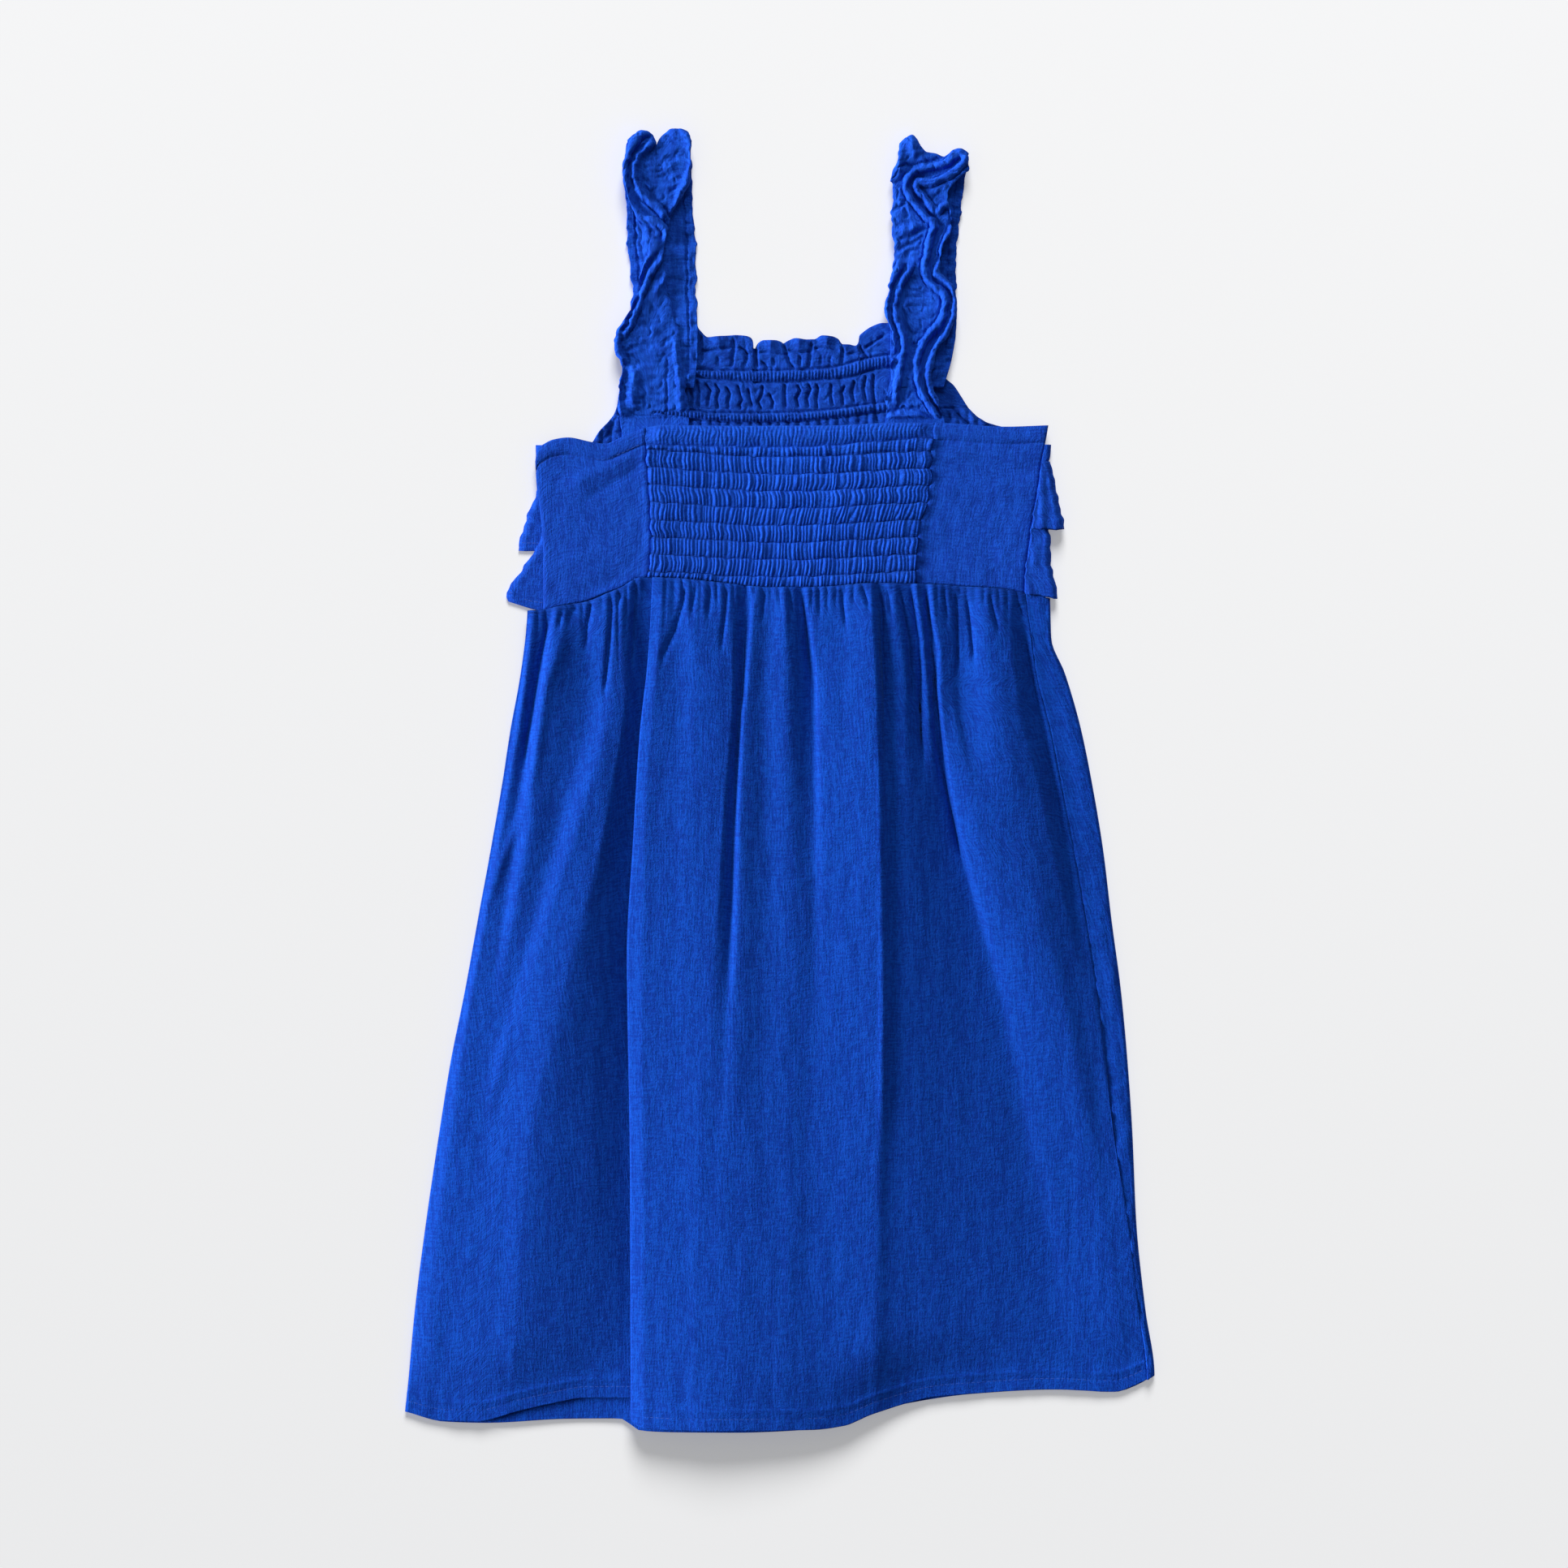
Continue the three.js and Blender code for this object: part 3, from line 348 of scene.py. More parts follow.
FOLDS_RIGHT = [
    ((816, 806, 794, 790, 792, 793), (4.6, 8.6, 9.8, 10.2, 10.6, 10.8)),
    ((832, 832, 830, 830, 832, 834), (3.6, 7.6, 9.4, 10.2, 10.8, 11.2)),
    ((850, 862, 856, 850, 848, 848), (5.2, 9.2, 10.0, 10.6, 11.0, 11.4)),
    ((900, 902, 890, 876, 862, 858), (4.6, 8.2, 9.4, 10.8, 11.4, 11.8)),
    ((920, 913, 905, 894, 876, 874), (0.6, 3.0, 4.6, 10.2, 11.3, 11.8)),
    ((926, 918, 911, 904, 892, 890), (4.6, 8.0, 9.4, 10.9, 11.5, 11.9)),
    ((948, 942, 944, 950, 952, 948), (2.8, 6.2, 7.2, 9.2, 10.9, 11.6)),
    ((968, 968, 972, 974, 974, 972), (4.8, 7.8, 8.6, 9.6, 11.2, 11.8)),
    ((988, 1002, 1002, 1000, 998, 994), (0.8, 2.4, 6.6, 9.4, 11.0, 11.8)),
    ((994, 1008, 1012, 1016, 1018, 1018), (4.4, 7.2, 8.6, 10.2, 11.4, 12.0)),
    ((1030, 1040, 1046, 1050, 1050, 1048), (4.0, 9.4, 11.0, 12.4, 12.6, 12.6)),
    ((1072, 1079, 1082, 1084, 1080, 1074), (6.4, 11.4, 13.0, 14.0, 13.4, 13.2)),
    ((1081, 1089, 1092, 1094, 1094, 1096), (1.4, 5.0, 8.4, 11.6, 11.8, 11.6)),
    ((1096, 1112, 1114, 1130, 1140, 1150), (5.0, 6.6, 8.0, 9.0, 9.2, 8.6)),
    ((1121, 1133, 1138, 1170, 1200, 1220), (1.2, 2.2, 5.2, 5.4, 5.4, 5.4)),
    ((1129, 1141, 1152, 1204, 1244, 1270), (4.4, 5.4, 2.8, 2.2, 2.4, 3.4)),
    ((1139, 1152, 1171, 1232, 1280, 1320), (0.8, 0.4, 0.0, 0.0, 0.2, 2.0)),
    ((1147, 1157, 1177, 1246, 1300, 1350), (5.4, 6.4, 7.0, 1.8, 0.9, 2.0)),
    ((1166, 1170, 1200, 1270, 1326, 1374), (3.6, 5.2, 9.0, 4.0, 1.4, 2.0)),
    ((1184, 1182, 1212, 1286, 1340, 1384), (1.6, 3.6, 9.0, 4.8, 1.8, 2.0)),
    ((1212, 1222, 1240, 1306, 1356, 1390), (5.0, 7.4, 8.6, 5.2, 2.2, 2.0)),
    ((1238, 1250, 1284, 1332, 1370, 1398), (3.2, 6.0, 6.0, 3.0, 1.9, 1.6)),
    ((1255, 1272, 1302, 1347, 1384, 1408), (0.6, 0.3, 0.6, 2.2, 1.9, 1.4)),
]

# Fold edge of the one deep pleat and how far the cloth laps under it
PLEAT = table("y edge lap", [
    (115, -71.2, 0.8),
    (67, -73.4, 1.2),
    (23, -77.6, 2.4),
    (-36, -81.2, 5.0),
    (-101, -84.6, 9.0),
    (-133, -84.2, 11.0),
    (-225, -82.8, 14.0),
    (-360, -82.4, 16.0),
])

# Broad lobes where both layers of the skirt stand clear of the surface
LOBES = table("waist_x hem_x reach waist_rise middle_rise hem_rise", [
    (-105, -160, 52, 0.0, 1.4, 0.8),
    (-12, -26, 88, 0.0, 3.2, 4.6),
    (105, 170, 48, 0.0, 1.6, 0.2),
])

# Smaller ridges and troughs of the back skirt
SKIRT_STROKES = [
    (-1.4, 1.3, 14, [(680, 752), (672, 790), (665, 830), (658, 870), (650, 910), (645, 950)]),
    (-1.3, 1, 6, [(697, 744), (691, 762), (686, 782)]),
    (-1.5, 1.1, 8, [(711, 741), (704, 757), (699, 775)]),
    (-1.6, 1.1, 9, [(731, 736), (724, 770), (722, 805)]),
    (-1.7, 1.1, 12, [(756, 730), (753, 770), (751, 800), (748, 830), (744, 862)]),
    (-1.5, 1, 6, [(771, 722), (765, 735), (760, 748)]),
    (-1.4, 0.94, 10, [(786, 716), (782, 745), (780, 790), (776, 830)]),
    (-1.6, 1, 10, [(806, 714), (802, 745), (803, 775), (801, 812)]),
    (-1.5, 1, 8, [(848, 716), (841, 745), (833, 775), (821, 800), (812, 822)]),
    (-1.3, 0.94, 6, [(859, 716), (855, 740), (850, 762)]),
    (-1.4, 1, 8, [(877, 718), (874, 740), (871, 765)]),
    (-1.5, 1, 8, [(897, 720), (893, 760), (888, 803)]),
    (-1.8, 1.2, 12, [(926, 722), (922, 770), (920, 800), (917, 840), (914, 880)]),
    (-1.4, 0.94, 6, [(944, 724), (941, 745), (938, 768)]),
    (-1.4, 1, 6, [(972, 724), (974, 745), (975, 764)]),
    (-1.6, 1.1, 12, [(985, 720), (992, 760), (995, 800), (998, 850)]),
    (-1.3, 0.94, 6, [(1007, 722), (1008, 740), (1010, 760)]),
    (-1.4, 1, 8, [(1036, 720), (1038, 745), (1042, 775)]),
    (-1.6, 1, 8, [(1061, 718), (1066, 735), (1071, 755)]),
    (-1.8, 1.1, 12, [(1080, 718), (1086, 745), (1086, 790), (1088, 830), (1090, 885)]),
    (-1.5, 0.94, 6, [(1092, 720), (1095, 742), (1097, 765)]),
    (-1.7, 1, 10, [(1106, 720), (1114, 760), (1120, 790), (1122, 830), (1123, 872)]),
    (-1.8, 1, 12, [(1121, 720), (1128, 760), (1133, 790), (1135, 830), (1133, 870), (1134, 905),
      (1138, 945)]),
    (-2.1, 1.2, 14, [(1139, 722), (1147, 770), (1153, 800), (1154, 830), (1150, 865), (1151, 900),
      (1158, 945), (1167, 980), (1176, 1015), (1184, 1060)]),
    (-1.4, 0.94, 8, [(1160, 722), (1164, 745), (1166, 770)]),
    (-1.5, 1.1, 10, [(1177, 726), (1178, 760), (1179, 800), (1180, 832)]),
    (-1.4, 1, 10, [(1190, 730), (1195, 770), (1200, 822)]),
    (-1.5, 1, 8, [(1217, 730), (1223, 755), (1230, 782)]),
    (-1.4, 1, 8, [(1250, 736), (1256, 750), (1262, 766)]),
    (-1.2, 2.0, 20, [(1262, 760), (1264, 800), (1275, 850), (1290, 920), (1301, 985), (1308, 1020)]),
    (0.9, 2.6, 30, [(700, 760), (690, 800), (675, 840), (665, 900), (655, 960), (645, 1000),
      (620, 1060), (600, 1120)]),
    (0.8, 4.0, 30, [(640, 1230), (622, 1300), (600, 1385)]),
    (-0.8, 2.6, 30, [(905, 1020), (902, 1100), (899, 1170), (897, 1230)]),
    (0.9, 2.6, 40, [(1087, 900), (1089, 1000), (1090, 1150), (1089, 1290), (1086, 1420)]),
]

# Share of the folds' rise that is left at the hem, which lies down at both sides
HEM_LIE = Curve([
    (-212, 0.2), (-150, 0.3), (-92, 0.35), (-84, 0.9), (-40, 1.0), (10, 0.85), (50, 0.5), (75, 0.2),
    (130, 0.1), (212, 0.15),
])


def lift(x, y):
    """Height that the lobes give both layers of the skirt."""
    down = (WAIST - y) / SKIRT_LENGTH
    height = np.zeros_like(x)
    for lobe in LOBES:
        upper = mix(lobe["waist_rise"], lobe["middle_rise"], ease(down * 2))
        lower = mix(lobe["middle_rise"], lobe["hem_rise"], ease(down * 2 - 1))
        rise = np.where(down < 0.5, upper, lower)
        away = np.abs(x - mix(lobe["waist_x"], lobe["hem_x"], down)) / lobe["reach"]
        height += np.where(away < 1, rise * (0.5 + 0.5 * np.cos(math.pi * away)), 0)
    return height


def back_level(x, y):
    settled = ease((waist_y(x) - y) / BACK_SETTLE)
    return mix(BACK_LEVEL_WAIST, BACK_LEVEL_SKIRT, settled) + lift(x, y)


def front_level(x, y):
    settled = ease((waist_y(x) - y) / FRONT_SETTLE)
    return mix(FRONT_LEVEL_WAIST, FRONT_LEVEL_SKIRT, settled) + lift(x, y)


def seam_rise(x, y):
    return SEAM_RISE * ease((waist_y(x) - y) / SEAM_RISE_REACH)


skirt_left = column_curve(SKIRT_SIDES, "y", "left")
skirt_seam = column_curve(SKIRT_SIDES, "y", "seam")
skirt_fold = column_curve(SKIRT_SIDES, "y", "fold")
pleat_edge = column_curve(PLEAT, "y", "edge")
pleat_lap = column_curve(PLEAT, "y", "lap")


# Meshes
def link_mesh(name, points, faces, uv):
    mesh = bpy.data.meshes.new(name)
    mesh.from_pydata((points * METRE).tolist(), [], faces.tolist())
    layer = mesh.uv_layers.new(name="cloth")
    corners = np.zeros(len(mesh.loops), np.int32)
    mesh.loops.foreach_get("vertex_index", corners)
    layer.data.foreach_set("uv", uv[corners].astype(np.float32).ravel())
    mesh.polygons.foreach_set("use_smooth", np.ones(len(mesh.polygons), bool))
    mesh.update()
    piece = bpy.data.objects.new(name, mesh)
    bpy.context.scene.collection.objects.link(piece)
    return piece


def grid_quads(rows, columns, offset, flip):
    index = np.arange(rows * columns).reshape(rows, columns) + offset
    quads = np.stack([index[:-1, :-1], index[1:, :-1], index[1:, 1:], index[:-1, 1:]], -1).reshape(-1, 4)
    return quads[:, ::-1] if flip else quads


def rim_quads(rows, columns, offset):
    index = np.arange(rows * columns).reshape(rows, columns)
    loop = np.concatenate([index[-1, :], index[-2::-1, -1], index[0, -2::-1], index[1:-1, 0]])
    ahead = np.roll(loop, -1)
    return np.stack([loop + offset, ahead + offset, ahead, loop], -1)


def two_skins(name, outer, inner, cloth_uv):
    rows, columns = outer.shape[:2]
    count = rows * columns
    faces = np.concatenate([
        grid_quads(rows, columns, 0, False),
        grid_quads(rows, columns, count, True),
        rim_quads(rows, columns, count),
    ])
    points = np.concatenate([outer.reshape(-1, 3), inner.reshape(-1, 3)])
    points[:, 2] = np.maximum(points[:, 2], 0)
    flat_uv = cloth_uv.reshape(-1, 2)
    return link_mesh(name, points, faces, np.concatenate([flat_uv, flat_uv]))


def grid_normals(grid):
    across = np.gradient(grid, axis=1)
    down = np.gradient(grid, axis=0)
    normal = np.cross(down, across)
    return normal / np.linalg.norm(normal, axis=2, keepdims=True)


def cloth_lengths(grid):
    """Distances over the cloth, across from its middle column and down from its first row."""
    across = np.linalg.norm(np.diff(grid, axis=1), axis=2).cumsum(axis=1)
    across = np.pad(across, ((0, 0), (1, 0)))
    across -= across[:, [across.shape[1] // 2]]
    down = np.linalg.norm(np.diff(grid, axis=0), axis=2).cumsum(axis=0)
    down = np.pad(down, ((1, 0), (0, 0)))
    return np.stack([across, -down], -1)


def wall(name, middle, thickness, raised=0.0, raised_inside=0.0):
    """Cloth either side of a grid of middle points, with relief on its outer and inner skin."""
    normal = grid_normals(middle)
    outer = middle + normal * (thickness / 2 + np.broadcast_to(raised, middle.shape[:2]))[..., None]
    inner = middle - normal * (thickness / 2 + np.broadcast_to(raised_inside, middle.shape[:2]))[..., None]
    return two_skins(name, outer, inner, cloth_lengths(middle)), outer


def panel(name, top, underside):
    """Panel with its outer face in relief over a plain underside."""
    inner = top.copy()
    inner[..., 2] = underside
    return two_skins(name, top, inner, cloth_lengths(top)), top


# Materials
def add_node(tree, kind, inputs=None, **settings):
    node = tree.nodes.new(kind)
    for key, value in settings.items():
        setattr(node, key, value)
    for key, value in (inputs or {}).items():
        if isinstance(value, bpy.types.NodeSocket):
            tree.links.new(value, node.inputs[key])
        else:
            node.inputs[key].default_value = value
    return node


def maths(tree, operation, a, b=0.0):
    return add_node(tree, "ShaderNodeMath", {0: a, 1: b}, operation=operation).outputs[0]


def scaled_noise(tree, uv, scale, detail, roughness=0.5):
    """Noise whose grains are 1 / scale millimetres across and down the cloth."""
    mapped = add_node(tree, "ShaderNodeMapping", {"Vector": uv, "Scale": (scale[0], scale[1], 1.0)})
    return add_node(tree, "ShaderNodeTexNoise", {
        "Vector": mapped.outputs[0], "Scale": 1.0, "Detail": detail, "Roughness": roughness,
    }, noise_dimensions="2D").outputs[0]


# Grains for each millimetre across and down the cloth, and the weight of each in its tone
WARP, WARP_WEIGHT = (0.95, 0.14), 0.5
WEFT, WEFT_WEIGHT = (0.12, 0.9), 0.45
SLUB, SLUB_WEIGHT = (0.85, 0.85), 0.55
STREAK, STREAK_WEIGHT = (0.3, 0.03), 0.35
PUCKER = (0.1, 0.13)
TONE_LOW, TONE_HIGH = 0.445, 0.555
THREAD_RELIEF = 0.45
THREAD_TWIST = (3.0, 1.0)


def double_gauze(name, light, dark, crinkle):
    """Soft crinkled cotton: uneven threads both ways, slubs, and shallow puckers of the two layers."""
    material = bpy.data.materials.new(name)
    material.use_nodes = True
    tree = material.node_tree
    shader = tree.nodes["Principled BSDF"]
    uv = add_node(tree, "ShaderNodeUVMap", uv_map="cloth").outputs[0]
    warp = maths(tree, "MULTIPLY", scaled_noise(tree, uv, WARP, 2.0), WARP_WEIGHT)
    weft = maths(tree, "MULTIPLY", scaled_noise(tree, uv, WEFT, 2.0), WEFT_WEIGHT)
    slub = maths(tree, "MULTIPLY", scaled_noise(tree, uv, SLUB, 3.0, 0.7), SLUB_WEIGHT)
    streak = maths(tree, "MULTIPLY", scaled_noise(tree, uv, STREAK, 2.0), STREAK_WEIGHT)
    pucker = scaled_noise(tree, uv, PUCKER, 4.0, 0.7)
    threads = maths(tree, "ADD", maths(tree, "ADD", warp, weft), slub)
    whole = WARP_WEIGHT + WEFT_WEIGHT + SLUB_WEIGHT + STREAK_WEIGHT
    tone = maths(tree, "MULTIPLY", maths(tree, "ADD", threads, streak), 1 / whole)
    ramp = add_node(tree, "ShaderNodeValToRGB", {0: tone})
    low, high = ramp.color_ramp.elements
    low.position, high.position = TONE_LOW, TONE_HIGH
    low.color = (*dark, 1)
    high.color = (*light, 1)
    tree.links.new(ramp.outputs[0], shader.inputs["Base Color"])
    coarse = add_node(tree, "ShaderNodeBump", {
        "Height": pucker, "Strength": 1.0, "Distance": crinkle * METRE,
    })
    fine = add_node(tree, "ShaderNodeBump", {
        "Height": threads, "Strength": 1.0, "Distance": THREAD_RELIEF * METRE, "Normal": coarse.outputs[0],
    })
    tree.links.new(fine.outputs[0], shader.inputs["Normal"])
    shader.inputs["Roughness"].default_value = 0.92
    shader.inputs["Specular IOR Level"].default_value = 0.1
    shader.inputs["Sheen Weight"].default_value = 0.07
    shader.inputs["Sheen Roughness"].default_value = 0.45
    shader.inputs["Sheen Tint"].default_value = (0.1, 0.42, 1.0, 1.0)
    return material


def thread_material():
    material = bpy.data.materials.new("sewing_thread")
    material.use_nodes = True
    tree = material.node_tree
    shader = tree.nodes["Principled BSDF"]
    uv = add_node(tree, "ShaderNodeUVMap", uv_map="cloth").outputs[0]
    twist = scaled_noise(tree, uv, THREAD_TWIST, 1.0)
    ramp = add_node(tree, "ShaderNodeValToRGB", {0: twist})
    ramp.color_ramp.elements[0].color = (0.004, 0.035, 0.25, 1)
    ramp.color_ramp.elements[1].color = (0.008, 0.07, 0.42, 1)
    tree.links.new(ramp.outputs[0], shader.inputs["Base Color"])
    shader.inputs["Roughness"].default_value = 0.6
    return material


# The skirt's crinkled cloth, the smoother bodice, and a brighter copy of the same cloth for the drawn-up
# shirring and straps, whose extra brightness is a painted highlight for the light their gathers catch
GAUZE = double_gauze("double_gauze", (0.0014, 0.047, 0.345), (0.0006, 0.026, 0.24), 0.6)
GAUZE_SMOOTH = double_gauze("double_gauze_bodice", (0.004, 0.053, 0.385), (0.002, 0.03, 0.27), 0.5)
# Same double gauze made brighter: painted highlight standing in for light on the gathered crests
GAUZE_PAINTED_BRIGHTER = double_gauze("double_gauze_painted_brighter", (0.006, 0.069, 0.48), (0.003, 0.04, 0.34), 0.5)
THREAD = thread_material()


# Receivers of the lights
DRESS_LIT = bpy.data.collections.new("dress_lit")
FLOOR_LIT = bpy.data.collections.new("floor_lit")


def dress(piece, material, node=None):
    """Gives a piece its cloth and its body, and hides the solid that it stands for."""
    piece.data.materials.append(material)
    DRESS_LIT.objects.link(piece)
    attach(piece, "root")
    if node:
        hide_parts(node)
    return piece


def stitches(name, paths, pitch=3.0, length=2.2, width=0.5, sunk=0.12):
    """Topstitching along lines of points: one small rounded stitch after another."""
    rings = ((-0.5, 0.25), (-0.38, 0.85), (0.0, 1.0), (0.38, 0.85), (0.5, 0.25))
    sides = 6
    flatness = 1.3
    points, faces, uv = [], [], []
    for path in paths:
        steps = np.linalg.norm(np.diff(path, axis=0), axis=1)
        along = np.concatenate([[0], steps.cumsum()])
        for start in np.arange(pitch / 2, along[-1] - length, pitch):
            head, tail = (
                np.array([np.interp(at, along, path[:, i]) for i in range(3)])
                for at in (start, start + length))
            centre, run = (head + tail) / 2, tail - head
            side = np.cross(run, (0, 0, 1))
            side /= np.linalg.norm(side)
            up = np.cross(side, run) / np.linalg.norm(run)
            first = len(points)
            for share, swell in rings:
                for k in range(sides):
                    angle = 2 * math.pi * k / sides
                    rise = math.sin(angle) * width / 2 / flatness - sunk
                    off = side * math.cos(angle) * width / 2 + up * rise
                    points.append(centre + run * share + off * swell)
                    uv.append((start + share * length, k))
            for r in range(len(rings) - 1):
                for k in range(sides):
                    a, b = first + r * sides + k, first + r * sides + (k + 1) % sides
                    faces.append((a, b, b + sides, a + sides))
    piece = link_mesh(name, np.array(points), np.array(faces), np.array(uv, float))
    return dress(piece, THREAD)


# Back skirt: its last rows, in millimetres over the hem
BACK_HEM_ROWS = (12.4, 11.6, 10.8, 9.6, 8.2, 7.0, HEM_STITCH, 5.6, 4.2, 2.8, 1.4, 0.5, 0.0)


def fold_lines(folds):
    heights = [(PHOTO_CENTRE - row) * MM_PER_PIXEL for row in FOLD_ROWS]
    lines = []
    for xs, rises in folds:
        line = Curve(zip(heights, [(x - PHOTO_CENTRE) * MM_PER_PIXEL for x in xs]))
        lines.append((line, Curve(zip(heights, rises))))
    return lines


def columns_between(lines):
    """Lines spaced evenly by the pitch at the waist between each neighbouring two."""
    columns = []
    for (a, _), (b, _) in zip(lines[:-1], lines[1:]):
        steps = max(3, round(float(b(WAIST) - a(WAIST)) / SKIRT_PITCH))
        columns += [lambda y, a=a, b=b, share=k / steps: mix(a(y), b(y), share) for k in range(steps)]
    return [*columns, lines[-1][0]]


def pleat_columns():
    """The deep pleat in section: under to the end of the lap, back, and over the fold edge."""
    steps = 8
    turns = (
        (1, 0, PLEAT_UNDER, 0.1),
        (0, PLEAT_UNDER, PLEAT_UNDER + PLEAT_FOLD, 0.55),
    )
    columns = []
    for lap_share, low, high, hem_share in turns:
        bulge = (high - low) / 2 * (1 if lap_share else -1)
        for k in range(steps + 1):
            angle = (k / steps - 0.5) * math.pi
            height = mix(low, high, 0.5 + 0.5 * math.sin(angle))
            columns.append((lap_share, height, bulge * math.cos(angle), hem_share + 0.35 * k / steps))
    return columns


def rises_along(lines, x, y):
    """Height of the cloth over its level: row by row, a smooth curve through the fold lines."""
    rise = np.zeros_like(x)
    for r in range(len(x)):
        level = y[r].mean()
        marks = [(float(line(level)), float(height(level))) for line, height in lines]
        rise[r] = Curve(marks)(x[r])
    return rise


def skirt_part(lines, columns, hem, shares):
    """Grid of one side of the back skirt, and how far its cloth rises."""
    y = np.stack([mix(waist_y(line(WAIST)), hem(line(HEM)), shares) for line in columns], 1)
    x = np.stack([line(y[:, c]) for c, line in enumerate(columns)], 1)
    return x, y, rises_along(lines, x, y)


def pleat_part(pleat, shares):
    """Grid of the deep pleat, which opens from the waist down."""
    edge = float(pleat_edge(HEM))
    ends = float(hem_left_of_pleat(edge)), float(hem_right_of_pleat(edge))
    x, y, rise = (np.zeros((len(shares), len(pleat))) for _ in range(3))
    for c, (lap_share, height, bulge, hem_share) in enumerate(pleat):
        y[:, c] = mix(waist_y(pleat_edge(WAIST)), mix(*ends, hem_share), shares)
        open_share = mix(PLEAT_WAIST_SHARE, 1, ease((WAIST - y[:, c]) / PLEAT_SETTLE))
        x[:, c] = pleat_edge(y[:, c]) + lap_share * pleat_lap(y[:, c]) + bulge * open_share
        rise[:, c] = height * open_share
    return x, y, rise


def waist_gathers(x, y, below):
    """Fine gathers under the waist seam, each of its own depth and length."""
    phase = (x + 1.6 * noise(x / 9, y / 30, 3)) / GATHER_PITCH
    ridges = np.abs(np.sin(math.pi * phase)) ** 0.45 - 0.7
    reach = GATHER_REACH * 2 ** (1.5 * noise(x / 4.3, 0 * x, 8))
    fade = (1 - ease(below / reach)) * ease(below / 2.5) * (0.85 + 0.6 * noise(x / 6.1, 0 * x, 9))
    return GATHER_RISE * ridges * fade


def unevenness(x, y, below, foot):
    """Slight unevenness of the cloth, and of the hem's own folds."""
    wander = 0.16 * noise(x / 5, y / 14, 21) + 0.22 * noise(x / 13, y / 40, 22)
    hem_ripple = 0.12 * noise(x / 7, y / 3, 5) * (foot < HEM_DEPTH + 3)
    return wander * ease(below / 12) + hem_ripple


def back_skirt():
    left_lines = [(skirt_left, lambda y: EDGE_RISE), *fold_lines(FOLDS_LEFT)]
    right_lines = [*fold_lines(FOLDS_RIGHT), (skirt_seam, lambda y: float(seam_rise(skirt_seam(y), y)))]
    left, right, pleat = columns_between(left_lines), columns_between(right_lines), pleat_columns()
    shares = np.linspace(0, 1, SKIRT_ROWS)
    shares = mix(shares, shares ** 1.5, 0.5)
    above_hem = shares[shares < 1 - HEM_BAND / SKIRT_LENGTH]
    shares = np.unique(np.concatenate([above_hem, 1 - np.array(BACK_HEM_ROWS) / SKIRT_LENGTH]))
    parts = (
        skirt_part(left_lines, left, hem_left_of_pleat, shares),
        pleat_part(pleat, shares),
        skirt_part(right_lines, right, hem_right_of_pleat, shares),
    )
    x, y, rise = (np.concatenate(grids, 1) for grids in zip(*parts))
    in_pleat = np.array([False] * len(left) + [True] * len(pleat) + [False] * len(right))
    below = waist_y(x) - y
    foot = (1 - shares)[:, None] * SKIRT_LENGTH + 0 * x
    steady = np.where(in_pleat, 0.0, 1.0) * ease(from_sides(len(in_pleat)) / 3)
    drawn = 1 - WAIST_DRAW * (1 - ease(below / WAIST_DRAW_REACH)) ** 3
    lying = mix(HEM_LIE(x), 1.0, ease(foot / HEM_LIE_REACH))
    z = back_level(x, y) - 0.5 * (1 - lying) + rise * np.where(in_pleat, 1.0, drawn) * lying
    creases = CREASE_SCALE * relief(x, y, SKIRT_STROKES) * ease(below / 3)
    z = z + steady * (waist_gathers(x, y, below) + creases)
    z = z + steady * unevenness(x, y, below, foot)
    hem_fold = 0.35 * ridge(foot - HEM_DEPTH, 0.9) + HEM_RAISE * (foot < HEM_DEPTH)
    pulled = -STITCH_PULL * ridge(foot - HEM_STITCH, 0.9) * (0.7 + 0.3 * np.sin(x * STITCH_WAVE))
    raised = np.where(in_pleat, 0.0, hem_fold + pulled)
    piece, outer = wall("dress_back_skirt", np.stack([x, y, z], -1), CLOTH, raised)
    stitch_row = int(np.argmin(np.abs(foot[:, 0] - HEM_STITCH)))
    first_right = len(left) + len(pleat)
    lines = [outer[stitch_row, :len(left)], outer[stitch_row, first_right:]]
    return dress(piece, GAUZE, "back_skirt"), stitches("stitch_back_hem", lines)


# Front pieces: flat underneath, round the right fold, and back to the side seam
FRONT_HEM_ROWS = (11.6, 10.4, 8, HEM_STITCH, 5, 3, 1.5, 0.5, 0.0)


def wrapped_grid(part):
    angles = np.linspace(-math.pi / 2, math.pi / 2, TURN_COLUMNS)

    def across(c, y):
        fold = part["fold"](y)
        radius = (part["over"](fold, y) - part["under"](fold, y)) / 2
        centre = fold - CLOTH / 2 - radius
        if c < part["flat"]:
            return mix(part["left"](y), centre, c / part["flat"])
        if c < part["flat"] + len(angles):
            return centre + radius * math.cos(angles[c - part["flat"]])
        share = (c + 1 - part["flat"] - len(angles)) / part["top_columns"]
        return mix(centre, part["seam"](y) + SIDE_GAP, share)

    def height(c):
        if c < part["flat"]:
            return 0.0
        if c < part["flat"] + len(angles):
            return 0.5 + 0.5 * math.sin(angles[c - part["flat"]])
        return 1.0

    start, finish = part["span"]
    columns = part["flat"] + len(angles) + part["top_columns"]
    shares = part["shares"]
    middle = np.zeros((len(shares), columns, 3))
    for c in range(columns):
        guess = across(c, mix(start, finish, shares))
        y = mix(part["top"](guess), part["foot"](guess), shares)
        x = across(c, y)
        middle[:, c] = np.column_stack([x, y, mix(part["under"](x, y), part["over"](x, y), height(c))])
    return middle


